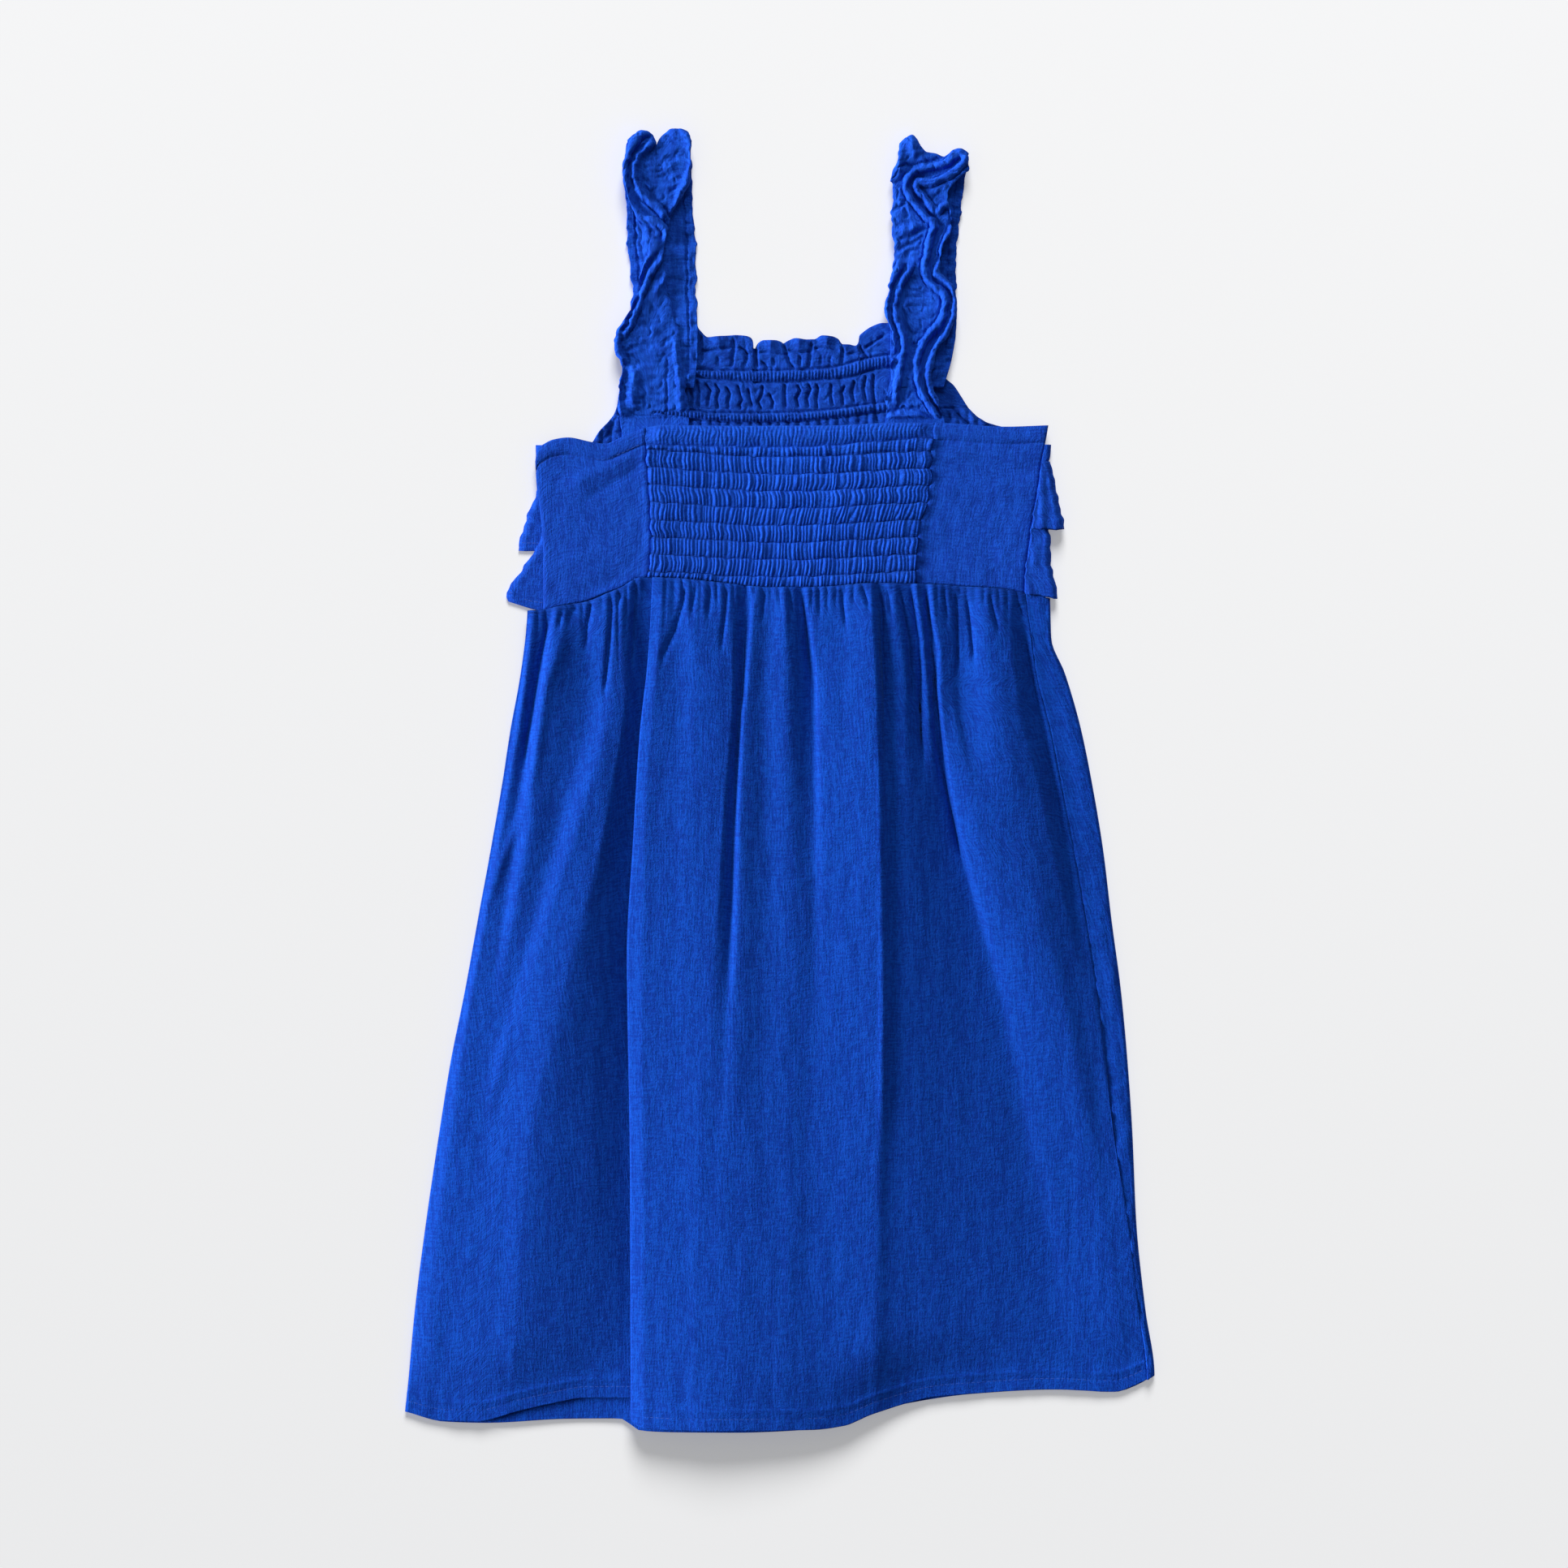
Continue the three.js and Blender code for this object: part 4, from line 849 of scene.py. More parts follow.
def front_skirt():
    flat = SKIRT_FLAT_COLUMNS
    shares = np.unique(np.concatenate([
        np.linspace(0, 1 - HEM_BAND / SKIRT_LENGTH, SKIRT_FRONT_ROWS),
        1 - np.array(FRONT_HEM_ROWS) / SKIRT_LENGTH,
    ]))
    middle = wrapped_grid({
        "shares": shares, "span": (WAIST, HEM), "left": lambda y: skirt_left(y) + FRONT_INSET,
        "fold": skirt_fold, "seam": skirt_seam, "top": front_waist_y, "foot": front_hem,
        "under": front_level, "over": lambda x, y: back_level(x, y) + seam_rise(x, y),
        "flat": flat, "top_columns": SKIRT_TOP_COLUMNS,
    })
    x, y = middle[..., 0], middle[..., 1]
    inside = np.zeros(middle.shape[1])
    inside[:flat] = ease(from_sides(flat) / 6)
    folds = rises_along(fold_lines([*FOLDS_LEFT, *FOLDS_RIGHT]), x, y)
    below = front_waist_y(x) - y
    middle[..., 2] += FRONT_FOLD_SHARE * folds * inside * ease(below / 40)
    on_top = np.zeros(middle.shape[1])
    on_top[flat + TURN_COLUMNS:] = 1.0
    on_top[-1] = 0.0
    puckers = 0.8 * noise(x / 9, y / 2.8, 31) + 0.35 * ridge(skirt_fold(y) - x - 6, 3)
    middle[..., 2] += on_top * puckers
    foot = (1 - shares)[:, None] * SKIRT_LENGTH + 0 * x
    piece, _ = wall("dress_front_skirt", middle, CLOTH, HEM_RAISE * (foot < HEM_DEPTH))
    return dress(piece, GAUZE, "front_skirt")


# Back bodice
back_top = Curve([
    (-139, 180), (-137.6, 186.5), (-133, 190.4), (-128, 192.6), (-120, 193.7), (-106, 191),
    (-99.4, 190.2), (-90, 193.7), (-76, 199.2), (-65, 200.6), (-28, 200.2), (30, 200.4), (64, 201.9),
    (88, 201.9), (128, 199.8), (152, 200.6),
])
BODICE_LINES = table("y left shirr_left shirr_right right", [
    (201, -139.0, -76.4, 87.2, 151.9),
    (190, -138.8, -76.4, 86.6, 150.0),
    (180, -138.4, -75.4, 85.4, 147.9),
    (166, -137.6, -74.1, 84.4, 146.0),
    (148, -135.2, -73.6, 80.6, 143.0),
    (125, -133.9, -72.9, 76.6, 139.8),
    (112, -133.9, -76.0, 75.9, 138.4),
    (95, -134.0, -79.0, 75.9, 138.0),
])


def drawn_seam(column, seed):
    """Side of the shirring, which its elastics draw in a little here and there."""
    line = column_curve(BODICE_LINES, "y", column)
    return lambda y: line(y) + 0.9 * noise(np.asarray(y) / 4.2, 0 * np.asarray(y), seed)


bodice_lines = {
    "left": column_curve(BODICE_LINES, "y", "left"),
    "shirr_left": drawn_seam("shirr_left", 91),
    "shirr_right": drawn_seam("shirr_right", 92),
    "right": column_curve(BODICE_LINES, "y", "right"),
}


def bodice_grid(shares, columns, left_line, right_line, left_gap, right_gap):
    across = np.linspace(0, 1, columns)[None, :]
    down = np.asarray(shares)[:, None]
    level = mix(back_top(0), waist_y(0), down)
    guess = mix(bodice_lines[left_line](level), bodice_lines[right_line](level), across)
    y = mix(back_top(guess), waist_y(guess) + WAIST_GAP, down)
    left = bodice_lines[left_line](y) + left_gap
    right = bodice_lines[right_line](y) - right_gap
    return mix(left, right, across), y


LEFT_PANEL_STROKES = [
    (0.9, 4.2, 14, [(690, 600), (716, 592), (745, 580), (770, 568), (800, 552)]),
    (-0.55, 2.4, 14, [(706, 626), (735, 608), (770, 588), (800, 570)]),
    (0.4, 6.0, 18, [(672, 700), (710, 690), (760, 684), (795, 676)]),
    (-0.5, 4.0, 14, [(700, 735), (740, 722), (780, 706)]),
    (0.5, 5.0, 14, [(690, 590), (715, 600), (730, 620)]),
]
RIGHT_PANEL_STROKES = [
    (-0.9, 3.6, 14, [(1178, 560), (1215, 572), (1250, 582), (1283, 590)]),
    (0.8, 4.0, 14, [(1160, 545), (1200, 556), (1245, 568), (1280, 572)]),
    (0.7, 5.0, 16, [(1140, 612), (1180, 600), (1230, 606), (1270, 618)]),
    (-0.5, 4.0, 16, [(1145, 660), (1190, 668), (1240, 684)]),
    (0.6, 6.0, 18, [(1135, 690), (1180, 700), (1240, 712)]),
    (-0.5, 1.0, 3, [(1244, 561), (1252, 566), (1260, 563)]),
    (0.5, 1.0, 3, [(1246, 558), (1255, 563), (1263, 559)]),
]


# Extra rows beside the top edge and the hem's stitching, in millimetres of a 90 mm panel
PANEL_EXTRA_ROWS = np.array([0.2, 0.6, 8.9, 9.5, 10.1, 10.7]) / 90


def side_panel(name, node, left_line, right_line, left_gap, right_gap, strokes):
    """Plain side of the back bodice, whose seam with the shirring puckers it."""
    shares = np.unique(np.concatenate([np.linspace(0, 1, PANEL_ROWS), PANEL_EXTRA_ROWS]))
    x, y = bodice_grid(shares, PANEL_COLUMNS, left_line, right_line, left_gap, right_gap)
    down = back_top(x) - y
    above = y - waist_y(x)
    columns = np.arange(PANEL_COLUMNS)
    edge = from_sides(PANEL_COLUMNS)[None, :] * PANEL_COLUMN
    from_outer = (columns if right_gap else columns[::-1])[None, :] * PANEL_COLUMN
    from_seam = PANEL_COLUMNS * PANEL_COLUMN - from_outer
    inside = ease(from_outer / 3) * ease(above / 4) * ease(down / 2)
    crown = np.sin(np.clip(down / TOP_HEM, 0, 1) * math.pi)
    casing = 0.4 * ease(TOP_HEM + 0.5 - down) + 0.45 * crown
    stitch = -0.45 * ridge(down - TOP_HEM, 0.8) * (0.75 + 0.25 * np.sin(x * STITCH_WAVE))
    sides = 0.5 * rounding(from_outer, 0.9) + 0.2 * rounding(edge, 0.8)
    ends = 0.4 * rounding(down, 0.7) + 0.4 * rounding(above, 0.9)
    tufts = 0.9 * ridge(from_seam - 2.6, 2.4) * (0.6 + 0.6 * noise(x / 9, y / 1.7, 44))
    wander = 0.18 * noise(x / 6, y / 9, 41) + 0.2 * noise(x / 3, y / 4.5, 42) * rounding(above, 6)
    z = BODICE_TOP + 0.1 + casing + stitch - sides - ends + tufts
    z = np.maximum(z + inside * (relief(x, y, strokes) + wander), BACK_BODICE_BOTTOM + 0.3)
    piece, outer = panel(name, np.stack([x, y, z], -1), BACK_BODICE_BOTTOM)
    row = int(np.argmin(np.abs(down[:, PANEL_COLUMNS // 2] - TOP_HEM)))
    return dress(piece, GAUZE_SMOOTH, node), outer[row]


# The casing's stitching and the elastic threads of the shirring: how far down the photograph each
# of them crosses its left side, middle and right side
ELASTIC_CROSSINGS = (800, 962, 1130)
CASING_STITCHING = (549.0, 552.0, 541.0)
FIRST_ELASTIC = (555, 564, 557)
ELASTIC_STEP = (21.4, 21, 21)
ELASTIC_ROWS = 8
ELASTICS = [CASING_STITCHING] + [
    tuple(first + step * k for first, step in zip(FIRST_ELASTIC, ELASTIC_STEP))
    for k in range(ELASTIC_ROWS)]

# Shares of the way from one elastic to the next at which the shirring has a row
SHIRR_STEPS = (0, 0.04, 0.09, 0.17, 0.27, 0.4, 0.5, 0.6, 0.73, 0.83, 0.91, 0.96)


def elastic(k, ys):
    """One row of elastic thread, a little unsteady."""
    line = photo_curve(list(zip(ELASTIC_CROSSINGS, ys)))
    return lambda x: line(x) + 0.5 * noise(x / 3.6, 0 * x + k, 57)


def shirred_grid(columns):
    """Grid with rows on and between the elastics: x, y, number of the band and share of the way down it."""
    across = np.linspace(0, 1, columns)
    elastics = [elastic(k, ys) for k, ys in enumerate(ELASTICS)]
    stations = [back_top, *elastics, lambda x: waist_y(x) + WAIST_GAP]
    last = len(stations) - 2
    marks = [
        (band, share) for band in range(last + 1)
        for share in (SHIRR_STEPS[::2] if band == 1 else SHIRR_STEPS)]
    marks.append((last, 1.0))
    x, y = np.zeros((len(marks), columns)), np.zeros((len(marks), columns))
    for r, (band, share) in enumerate(marks):
        guess = mix(bodice_lines["shirr_left"](150), bodice_lines["shirr_right"](150), across)
        for _ in range(3):
            y[r] = mix(stations[band](guess), stations[band + 1](guess), share)
            guess = mix(bodice_lines["shirr_left"](y[r]), bodice_lines["shirr_right"](y[r]), across)
        x[r] = guess
    band, share = (np.array(column)[:, None] + np.zeros_like(x) for column in zip(*marks))
    return x, y, band, share


def shirred_panel():
    columns = SHIRR_GATHERS * COLUMNS_A_GATHER + 1
    x, y, band, share = shirred_grid(columns)
    across = np.linspace(0, 1, columns)[None, :]
    sway = noise(x / 5.5, y / 12.0, 51) * 0.5 + noise(x / 2.6, band * 1.7 + share * 0.35, 52) * 0.3
    crest = np.abs(np.sin(math.pi * (across * SHIRR_GATHERS + sway))) ** 0.5
    uneven = 0.8 + 0.4 * noise(x / 2.4, band * 3.1, 53)
    swell = np.sin(math.pi * np.clip(share, 0, 1)) ** 0.4
    puff = (0.12 + 0.88 * swell) * (0.4 + 0.6 * crest * uneven) * SHIRR_PUFF
    slant = across * SHIRR_GATHERS * 1.05 + 0.5 * noise(x / 4, y / 4, 54) + share * 0.5
    casing_crest = np.abs(np.sin(math.pi * slant)) ** 0.5
    casing = np.sin(math.pi * np.clip(0.12 + 0.88 * share, 0, 1)) ** 0.7 * CASING_PUFF
    casing = casing + 0.8 * casing_crest * swell
    edge = np.minimum(across, 1 - across) * SHIRR_WIDTH
    casing = mix(0.5 + 0.45 * np.sin(share * math.pi), casing, ease(edge / 9))
    z = BODICE_TOP + np.where(band == 0, casing, puff) + 0.3 * noise(x / 14, y / 12, 55)
    z = z - 0.7 * rounding(edge, 1.2) * (band > 0) - 0.3 * (share == 1)
    z = np.maximum(z, BACK_BODICE_BOTTOM + 0.4)
    piece, _ = panel("dress_back_shirring", np.stack([x, y, z], -1), BACK_BODICE_BOTTOM)
    # The shirring gets the brighter copy of the cloth, a painted highlight
    return dress(piece, GAUZE_PAINTED_BRIGHTER, "back_shirred_panel")


# Yoke of the front, seen inside the neckline
YOKE_SIDES = table("y left right", [
    (254, -84.0, 91.0), (240, -87.0, 92.5), (228, -88.5, 93.8), (223.6, -90.5, 98.4),
    (216.7, -91.5, 103.0), (209.8, -92.8, 107.6), (203, -97.0, 116.0), (198, -101.7, 132.0),
    (190, -107.0, 146.0),
])
NECK_EDGE = [
    (778, 400), (858, 402), (863, 408), (873.7, 416), (884.2, 415), (899.6, 414), (907.3, 413.5),
    (916.9, 414), (924.6, 416), (929.0, 420.8), (930.6, 430), (932.2, 430), (934.2, 424.6),
    (941.9, 419.8), (955.4, 419.8), (963, 421.7), (966, 423.7), (970.8, 420.8), (980.4, 417.3),
    (993.8, 418.8), (1003.5, 418.5), (1013, 414), (1024.6, 415), (1032.3, 417.9), (1038, 424.6),
    (1045.8, 425), (1053.5, 426.5), (1057.3, 422.7), (1058.3, 415), (1063, 410.2), (1074.6, 402.5),
    (1088, 398.5), (1160, 410),
]
# Upper and lower edge of the two corded rows
UPPER_PIPING_TOP = [
    (780, 446), (863, 456), (897, 457.3), (947, 457.3), (994, 456), (1022, 454), (1042, 449.6),
    (1061, 443.8), (1080, 440), (1160, 430),
]
UPPER_PIPING_FOOT = [
    (780, 452), (848, 461), (869, 466), (898, 468.8), (936, 471.5), (975, 471), (1003, 468.8),
    (1032, 467), (1051, 464), (1071, 457.3), (1080, 455.4), (1160, 445),
]
LOWER_PIPING_TOP = [
    (780, 500), (863, 507), (876, 509.2), (917, 509.6), (975, 508.8), (1023, 505.4), (1061, 500),
    (1076, 497.7), (1180, 490),
]
LOWER_PIPING_FOOT = [
    (780, 511), (878, 518.8), (917, 521), (965, 520.8), (1013, 517), (1051, 513), (1076, 509.2),
    (1180, 502),
]
# Creases of the smocking between the corded rows, from left to right
ZIGZAGS = [
    [(849, 468), (850, 480), (853, 492), (851, 504)],
    [(859, 468), (859, 476), (862, 484), (861, 494), (861, 505)],
    [(869, 472), (875.5, 482), (873, 492), (872, 503)],
    [(881, 472), (886, 482), (883, 492), (885, 506)],
    [(894, 476), (899.5, 486), (897, 496), (898, 506)],
    [(909, 474), (911, 484), (914, 494), (911, 500), (914, 506)],
    [(922, 478), (923.5, 491), (927.5, 503)],
    [(940, 474), (939, 486), (934, 496), (939, 506)],
    [(947, 484), (952.5, 496), (951.5, 506)],
    [(967, 472), (967, 490), (968, 504)],
    [(982, 474), (986, 482), (981, 492), (984, 504)],
    [(995.5, 472), (998.5, 480), (994, 492), (996, 504)],
    [(1005.5, 472), (1008, 480), (1005.5, 492), (1007, 506)],
    [(1024.5, 472), (1023.5, 488), (1026.5, 502)],
    [(1042, 474), (1037, 484), (1039, 502)],
    [(1053.5, 468), (1049.5, 484), (1052.5, 498)],
    [(1067, 462), (1064, 480), (1067, 496)],
    [(1076.5, 460), (1075.5, 480), (1077.5, 498), (1079, 522)],
]
YOKE_STROKES = [(-1.4, 0.7, 2, line) for line in ZIGZAGS] + [
    (-0.9, 0.7, 2, [(863, 434), (884, 431), (903.5, 429.4)]),
    (-0.9, 0.7, 2, [(909.2, 427.5), (916.9, 431.3), (920.8, 436), (929.4, 436)]),
    (-0.9, 0.7, 2, [(934.2, 435.2), (947.7, 434.2), (957.3, 436), (970.8, 438)]),
    (-0.9, 0.7, 2, [(968.8, 431.3), (982.3, 435.2), (999.6, 434.2)]),
    (-0.9, 0.7, 2, [(1001.5, 430.4), (1013, 428.5), (1024.6, 430.4), (1036, 433.3)]),
    (-0.9, 0.7, 2, [(1043.8, 437), (1053.5, 435.2), (1064, 436)]),
    (-0.9, 0.7, 2, [(1064, 430.4), (1076.5, 422.7), (1090, 413)]),
    (-1.4, 0.9, 3, [(864, 412), (864, 430), (865, 450)]),
    (-1.2, 0.8, 3, [(903.5, 416), (904.5, 428.5), (901.5, 455)]),
    (-1.2, 0.8, 3, [(918.8, 431), (920.8, 440), (916.9, 454)]),
    (-1.8, 1.0, 2, [(931.3, 429), (931.3, 440), (932.3, 455)]),
    (-1.0, 0.8, 3, [(936, 444), (943, 450), (947.7, 457.3)]),
    (-1.2, 0.8, 3, [(965.5, 424), (970, 438), (972.7, 447.7), (980.4, 456)]),
    (-0.9, 0.8, 3, [(986, 437), (986, 454)]),
    (-1.2, 0.9, 3, [(1001, 420), (998, 436), (996.7, 455)]),
    (-1.3, 0.9, 3, [(1038, 426), (1038.5, 434), (1036, 452)]),
    (-1.2, 0.9, 3, [(1056, 425), (1064, 435), (1070.8, 444)]),
    (-0.6, 0.8, 2, [(884, 438), (886, 452)]),
    (-0.5, 0.8, 2, [(952, 440), (955, 454)]),
    (-0.6, 0.8, 2, [(1012, 436), (1011, 452)]),
    (-0.5, 0.8, 2, [(1024, 438), (1022, 450)]),
    (1.2, 5.0, 8, [(872, 422), (890, 421), (900, 420)]),
    (1.2, 5.0, 8, [(937, 426), (950, 425), (962, 427)]),
    (1.2, 5.0, 8, [(972, 424), (985, 423), (997, 425)]),
    (1.3, 5.0, 8, [(1005, 422), (1018, 420), (1032, 424)]),
    (-1.2, 1.1, 6, [(1152, 462), (1162, 486), (1174, 505), (1187, 517), (1200, 526)]),
    (0.9, 1.6, 6, [(1160, 462), (1171, 482), (1184, 503), (1200, 517), (1222, 526)]),
    (-0.8, 0.9, 4, [(1158, 490), (1166, 508), (1174, 524)]),
    (0.9, 1.6, 6, [(750, 515), (742, 528), (731, 545)]),
    (-0.9, 0.9, 6, [(760, 512), (753, 530), (744, 546)]),
]


def yoke():
    """Yoke with two corded rows, the smocking between them and its frilled neck edge."""
    neck = photo_curve(NECK_EDGE)
    left, right = column_curve(YOKE_SIDES, "y", "left"), column_curve(YOKE_SIDES, "y", "right")
    across = np.linspace(0, 1, YOKE_COLUMNS)[None, :]
    down = np.linspace(0, 1, YOKE_ROWS)[:, None] ** 0.9
    y = mix(neck(mix(left(YOKE_HEAD), right(YOKE_HEAD), across)), YOKE_FOOT, down)
    x = mix(left(y), right(y), across)
    z = YOKE_HEIGHT + 0 * x
    gather = np.abs(np.sin(math.pi * (x + 0.8 * noise(x / 4, y / 9, 61)) / FINE_GATHER_PITCH)) ** 0.8
    for top, foot in ((UPPER_PIPING_TOP, UPPER_PIPING_FOOT), (LOWER_PIPING_TOP, LOWER_PIPING_FOOT)):
        high, low = photo_curve(top)(x), photo_curve(foot)(x)
        share = (high - y) / np.maximum(high - low, 0.5)
        inside = (share > 0) & (share < 1)
        roll = np.sin(math.pi * np.clip(share, 0, 1)) ** 0.6
        z = z + np.where(inside, PIPING_RISE * roll * (0.25 + 0.75 * gather), 0)
        z = z - PIPING_GROOVE * (ridge(y - high, 0.8) + ridge(y - low, 0.8))
    foot = photo_curve(LOWER_PIPING_FOOT)(x)
    wide = np.abs(np.sin(math.pi * (x + noise(x / 7, 0 * x, 62)) / WIDE_GATHER_PITCH)) ** 0.5
    z = z - np.where(y < foot, WIDE_GATHER_DEPTH * (1 - wide), 0)
    z = z + YOKE_STROKE_SCALE * relief(x, y, YOKE_STROKES)
    z = z + 0.3 * noise(x / 2.6, y / 2.6, 63) - 0.5 * veins(x / 8, y / 4, 64)
    edge = np.minimum(across, 1 - across) * YOKE_WIDTH
    z = z - 0.5 * rounding(edge, 1.0) - 0.45 * rounding(neck(x) - y, 0.8)
    under_strap = ease(np.maximum(YOKE_FREE[0] - x, x - YOKE_FREE[1]) / 3) * ease((y - STRAP_JOIN) / 6)
    z = np.clip(mix(z, YOKE_UNDER_STRAP, under_strap), YOKE_LEAST, None)
    piece, _ = panel("dress_front_yoke", np.stack([x, y, z], -1), 0.0)
    return dress(piece, GAUZE_SMOOTH, "front_yoke")


# Front bodice and its two frills
UPPER_FRILL = table("y left fold", [
    (180, -136.0, 153.0), (175, -136.4, 154.4), (166, -137.2, 156.0), (157, -140.0, 157.9),
    (150, -143.0, 159.8), (143, -145.4, 160.5), (136, -147.2, 160.0), (129, -148.6, 159.4),
])
LOWER_FRILL = table("y left fold", [
    (146, -132.5, 152.4), (131, -138.5, 152.8), (122.4, -144.0, 153.8), (116.4, -147.7, 154.8),
    (110, -153.4, 156.0), (104, -155.5, 156.5), (96, -150.0, 156.4),
])
upper_frill_hem = Curve([(-149, 130.2), (-134, 129.6), (0, 134), (142, 142), (160, 141.7)])
lower_frill_hem = Curve([
    (-156, 104.6), (-152.5, 101.2), (-148, 99.2), (-143, 96.9), (-138, 96.0), (-134, 95.9), (0, 98),
    (138, 104.9), (157, 102.6),
])
bodice_fold = Curve([(190, 153.6), (183, 153.0), (180.8, 152.4), (178, 150.8), (172, 150.4), (100, 150.4)])


def front_bodice():
    top = YOKE_FOOT - SEAM_GAP
    middle = wrapped_grid({
        "shares": np.linspace(0, 1, 44) ** 1.2, "span": (top, float(waist_y(0))),
        "left": lambda y: bodice_lines["left"](y) + 0.4, "fold": bodice_fold,
        "seam": bodice_lines["right"], "top": lambda x: top + 0 * x,
        "foot": lambda x: front_waist_y(x) + WAIST_GAP,
        "under": lambda x, y: mix(
            FRONT_LEVEL_WAIST, FRILL_LEVEL, ease((y - BODICE_STEP_FOOT) / (top - BODICE_STEP_FOOT))),
        "over": lambda x, y: BACK_BODICE_BOTTOM + CLOTH / 2 + 0 * x,
        "flat": 50, "top_columns": 6,
    })
    piece, _ = wall("dress_front_bodice", middle, CLOTH)
    return dress(piece, GAUZE_SMOOTH, "front_bodice")


def frill(name, node, sides, hem, under, over, seed):
    """Frill whose ends show: flat under the dress, and fluted where it turns on top of it."""
    top, foot = sides[0]["y"], sides[-1]["y"] + 3
    shares = np.unique(np.concatenate([np.linspace(0, 1, FRILL_ROWS), [0.82, 0.86, 0.98]]))
    middle = wrapped_grid({
        "shares": shares, "span": (top, foot),
        "left": column_curve(sides, "y", "left"), "fold": column_curve(sides, "y", "fold"),
        "seam": bodice_lines["right"], "top": lambda x: top + 0 * x, "foot": hem,
        "under": under, "over": over, "flat": FRILL_FLAT_COLUMNS, "top_columns": FRILL_TOP_COLUMNS,
    })
    x, y = middle[..., 0], middle[..., 1]
    above = y - hem(x)
    middle[..., 0] += 0.7 * noise(y / 3.2, 0 * y, seed + 7) * ease((np.abs(x) - 132) / 6)
    middle[..., 1] += 0.5 * noise(x / 3.0, 0 * x, seed + 8) * ease(1 - above / 10)
    columns = np.arange(middle.shape[1])
    on_top = ease((columns - FRILL_FLAT_COLUMNS - 7) / 4) * ease((middle.shape[1] - 1 - columns) / 4)
    flute = 0.9 * noise(x / 4, y / 14, seed) + 0.4 * noise(x / 7, y / 4, seed + 9)
    middle[..., 2] += on_top[None, :] * np.maximum(flute * ease((top - y) / 14), -0.2)
    raised = 0.3 * (above < FRILL_STITCH) - 0.6 * ridge(above - FRILL_STITCH, 0.7)
    raised = np.where(np.arange(len(shares))[:, None] > 3, raised, 0)
    piece, outer = wall(name, middle, CLOTH, raised)
    hem_row = int(np.argmin(np.abs(above[:, -6] - FRILL_STITCH)))
    left_row = int(np.argmin(np.abs(above[:, 3] - FRILL_STITCH)))
    lines = [outer[hem_row, FRILL_FLAT_COLUMNS + 6:], middle[left_row, :14] + (0, 0, 0.55)]
    return dress(piece, GAUZE_SMOOTH, node), lines


def frills():
    upper_top = UPPER_FRILL[0]["y"]
    upper, upper_lines = frill(
        "dress_frill_upper", "front_frill_upper", UPPER_FRILL, upper_frill_hem,
        lambda x, y: FRILL_LEVEL + 0 * x,
        lambda x, y: FRILL_TOP_LEVEL + FRILL_TOP_FLARE * np.minimum(
            1, (upper_top - y) / (upper_top - FRILL_TURN)), 71)
    lower, lower_lines = frill(
        "dress_frill_lower", "front_frill_lower", LOWER_FRILL, lower_frill_hem,
        lambda x, y: mix(FRILL_LEVEL, FRILL_TUCKED_LEVEL, ease((y - FRILL_TUCK) / 8)),
        lambda x, y: FRILL_TOP_LEVEL + 0 * x, 72)
    return upper, lower, stitches("stitch_frills", [*upper_lines, *lower_lines])


# Straps from their front end, over the shoulder fold, to their back end: sides of each
# section, where its two sides lie along the dress, and the heights of its sides and middle
STRAP_COLUMNS = "left left_y right right_y left_z mid_z right_z"
STRAP_LEFT = table(STRAP_COLUMNS, [
    (-83.0, 222, -48.5, 222, 2.9, 2.9, 2.9),
    (-85.0, 240, -46.6, 240, 2.9, 2.9, 2.9),
    (-85.5, 257, -46.4, 257, 2.9, 2.9, 2.9),
    (-84.0, 277, -47.0, 277, 0.7, 0.6, 0.6),
    (-86.0, 300, -47.6, 300, 0.6, 0.6, 0.6),
    (-87.0, 323, -49.2, 323, 0.6, 0.6, 0.6),
    (-89.5, 345, -49.4, 345, 0.6, 0.6, 0.6),
    (-87.6, 359, -51.0, 359, 0.8, 0.7, 0.8),
    (-86.0, 365.2, -52.6, 366.0, 1.8, 1.7, 1.9),
    (-85.8, 367.4, -52.4, 368.2, 3.2, 2.9, 3.3),
    (-85.8, 366.8, -52.2, 367.6, 5.0, 4.2, 5.2),
    (-87.0, 361.5, -50.6, 362.6, 6.6, 5.2, 6.6),
    (-89.8, 351, -50.2, 351, 6.8, 5.6, 6.2),
    (-88.4, 339, -50.6, 339, 6.6, 5.6, 5.6),
    (-86.4, 330, -56.2, 328, 6.2, 6.0, 5.2),
    (-82.6, 320.5, -61.6, 319, 5.6, 6.4, 5.0),
    (-78.0, 309, -63.6, 309, 5.2, 6.6, 5.0),
    (-77.6, 296, -66.0, 296, 4.8, 6.4, 4.8),
    (-79.6, 282, -63.6, 282, 4.6, 5.6, 4.6),
    (-84.0, 268, -61.0, 268, 4.8, 5.2, 4.8),
    (-92.0, 254, -57.0, 254, 5.4, 5.2, 5.2),
    (-94.2, 244.5, -55.8, 244.5, 5.6, 5.2, 5.2),
    (-89.4, 233, -54.6, 233, 5.4, 5.2, 5.2),
    (-91.0, 219, -53.2, 219, 5.0, 5.0, 5.0),
    (-90.8, 208, -51.8, 208, 3.7, 3.7, 3.7),
    (-90.4, 202.5, -51.4, 202.5, 3.1, 3.1, 3.1),
    (-90.0, 187, -51.2, 190, 3.1, 3.1, 3.1),
])
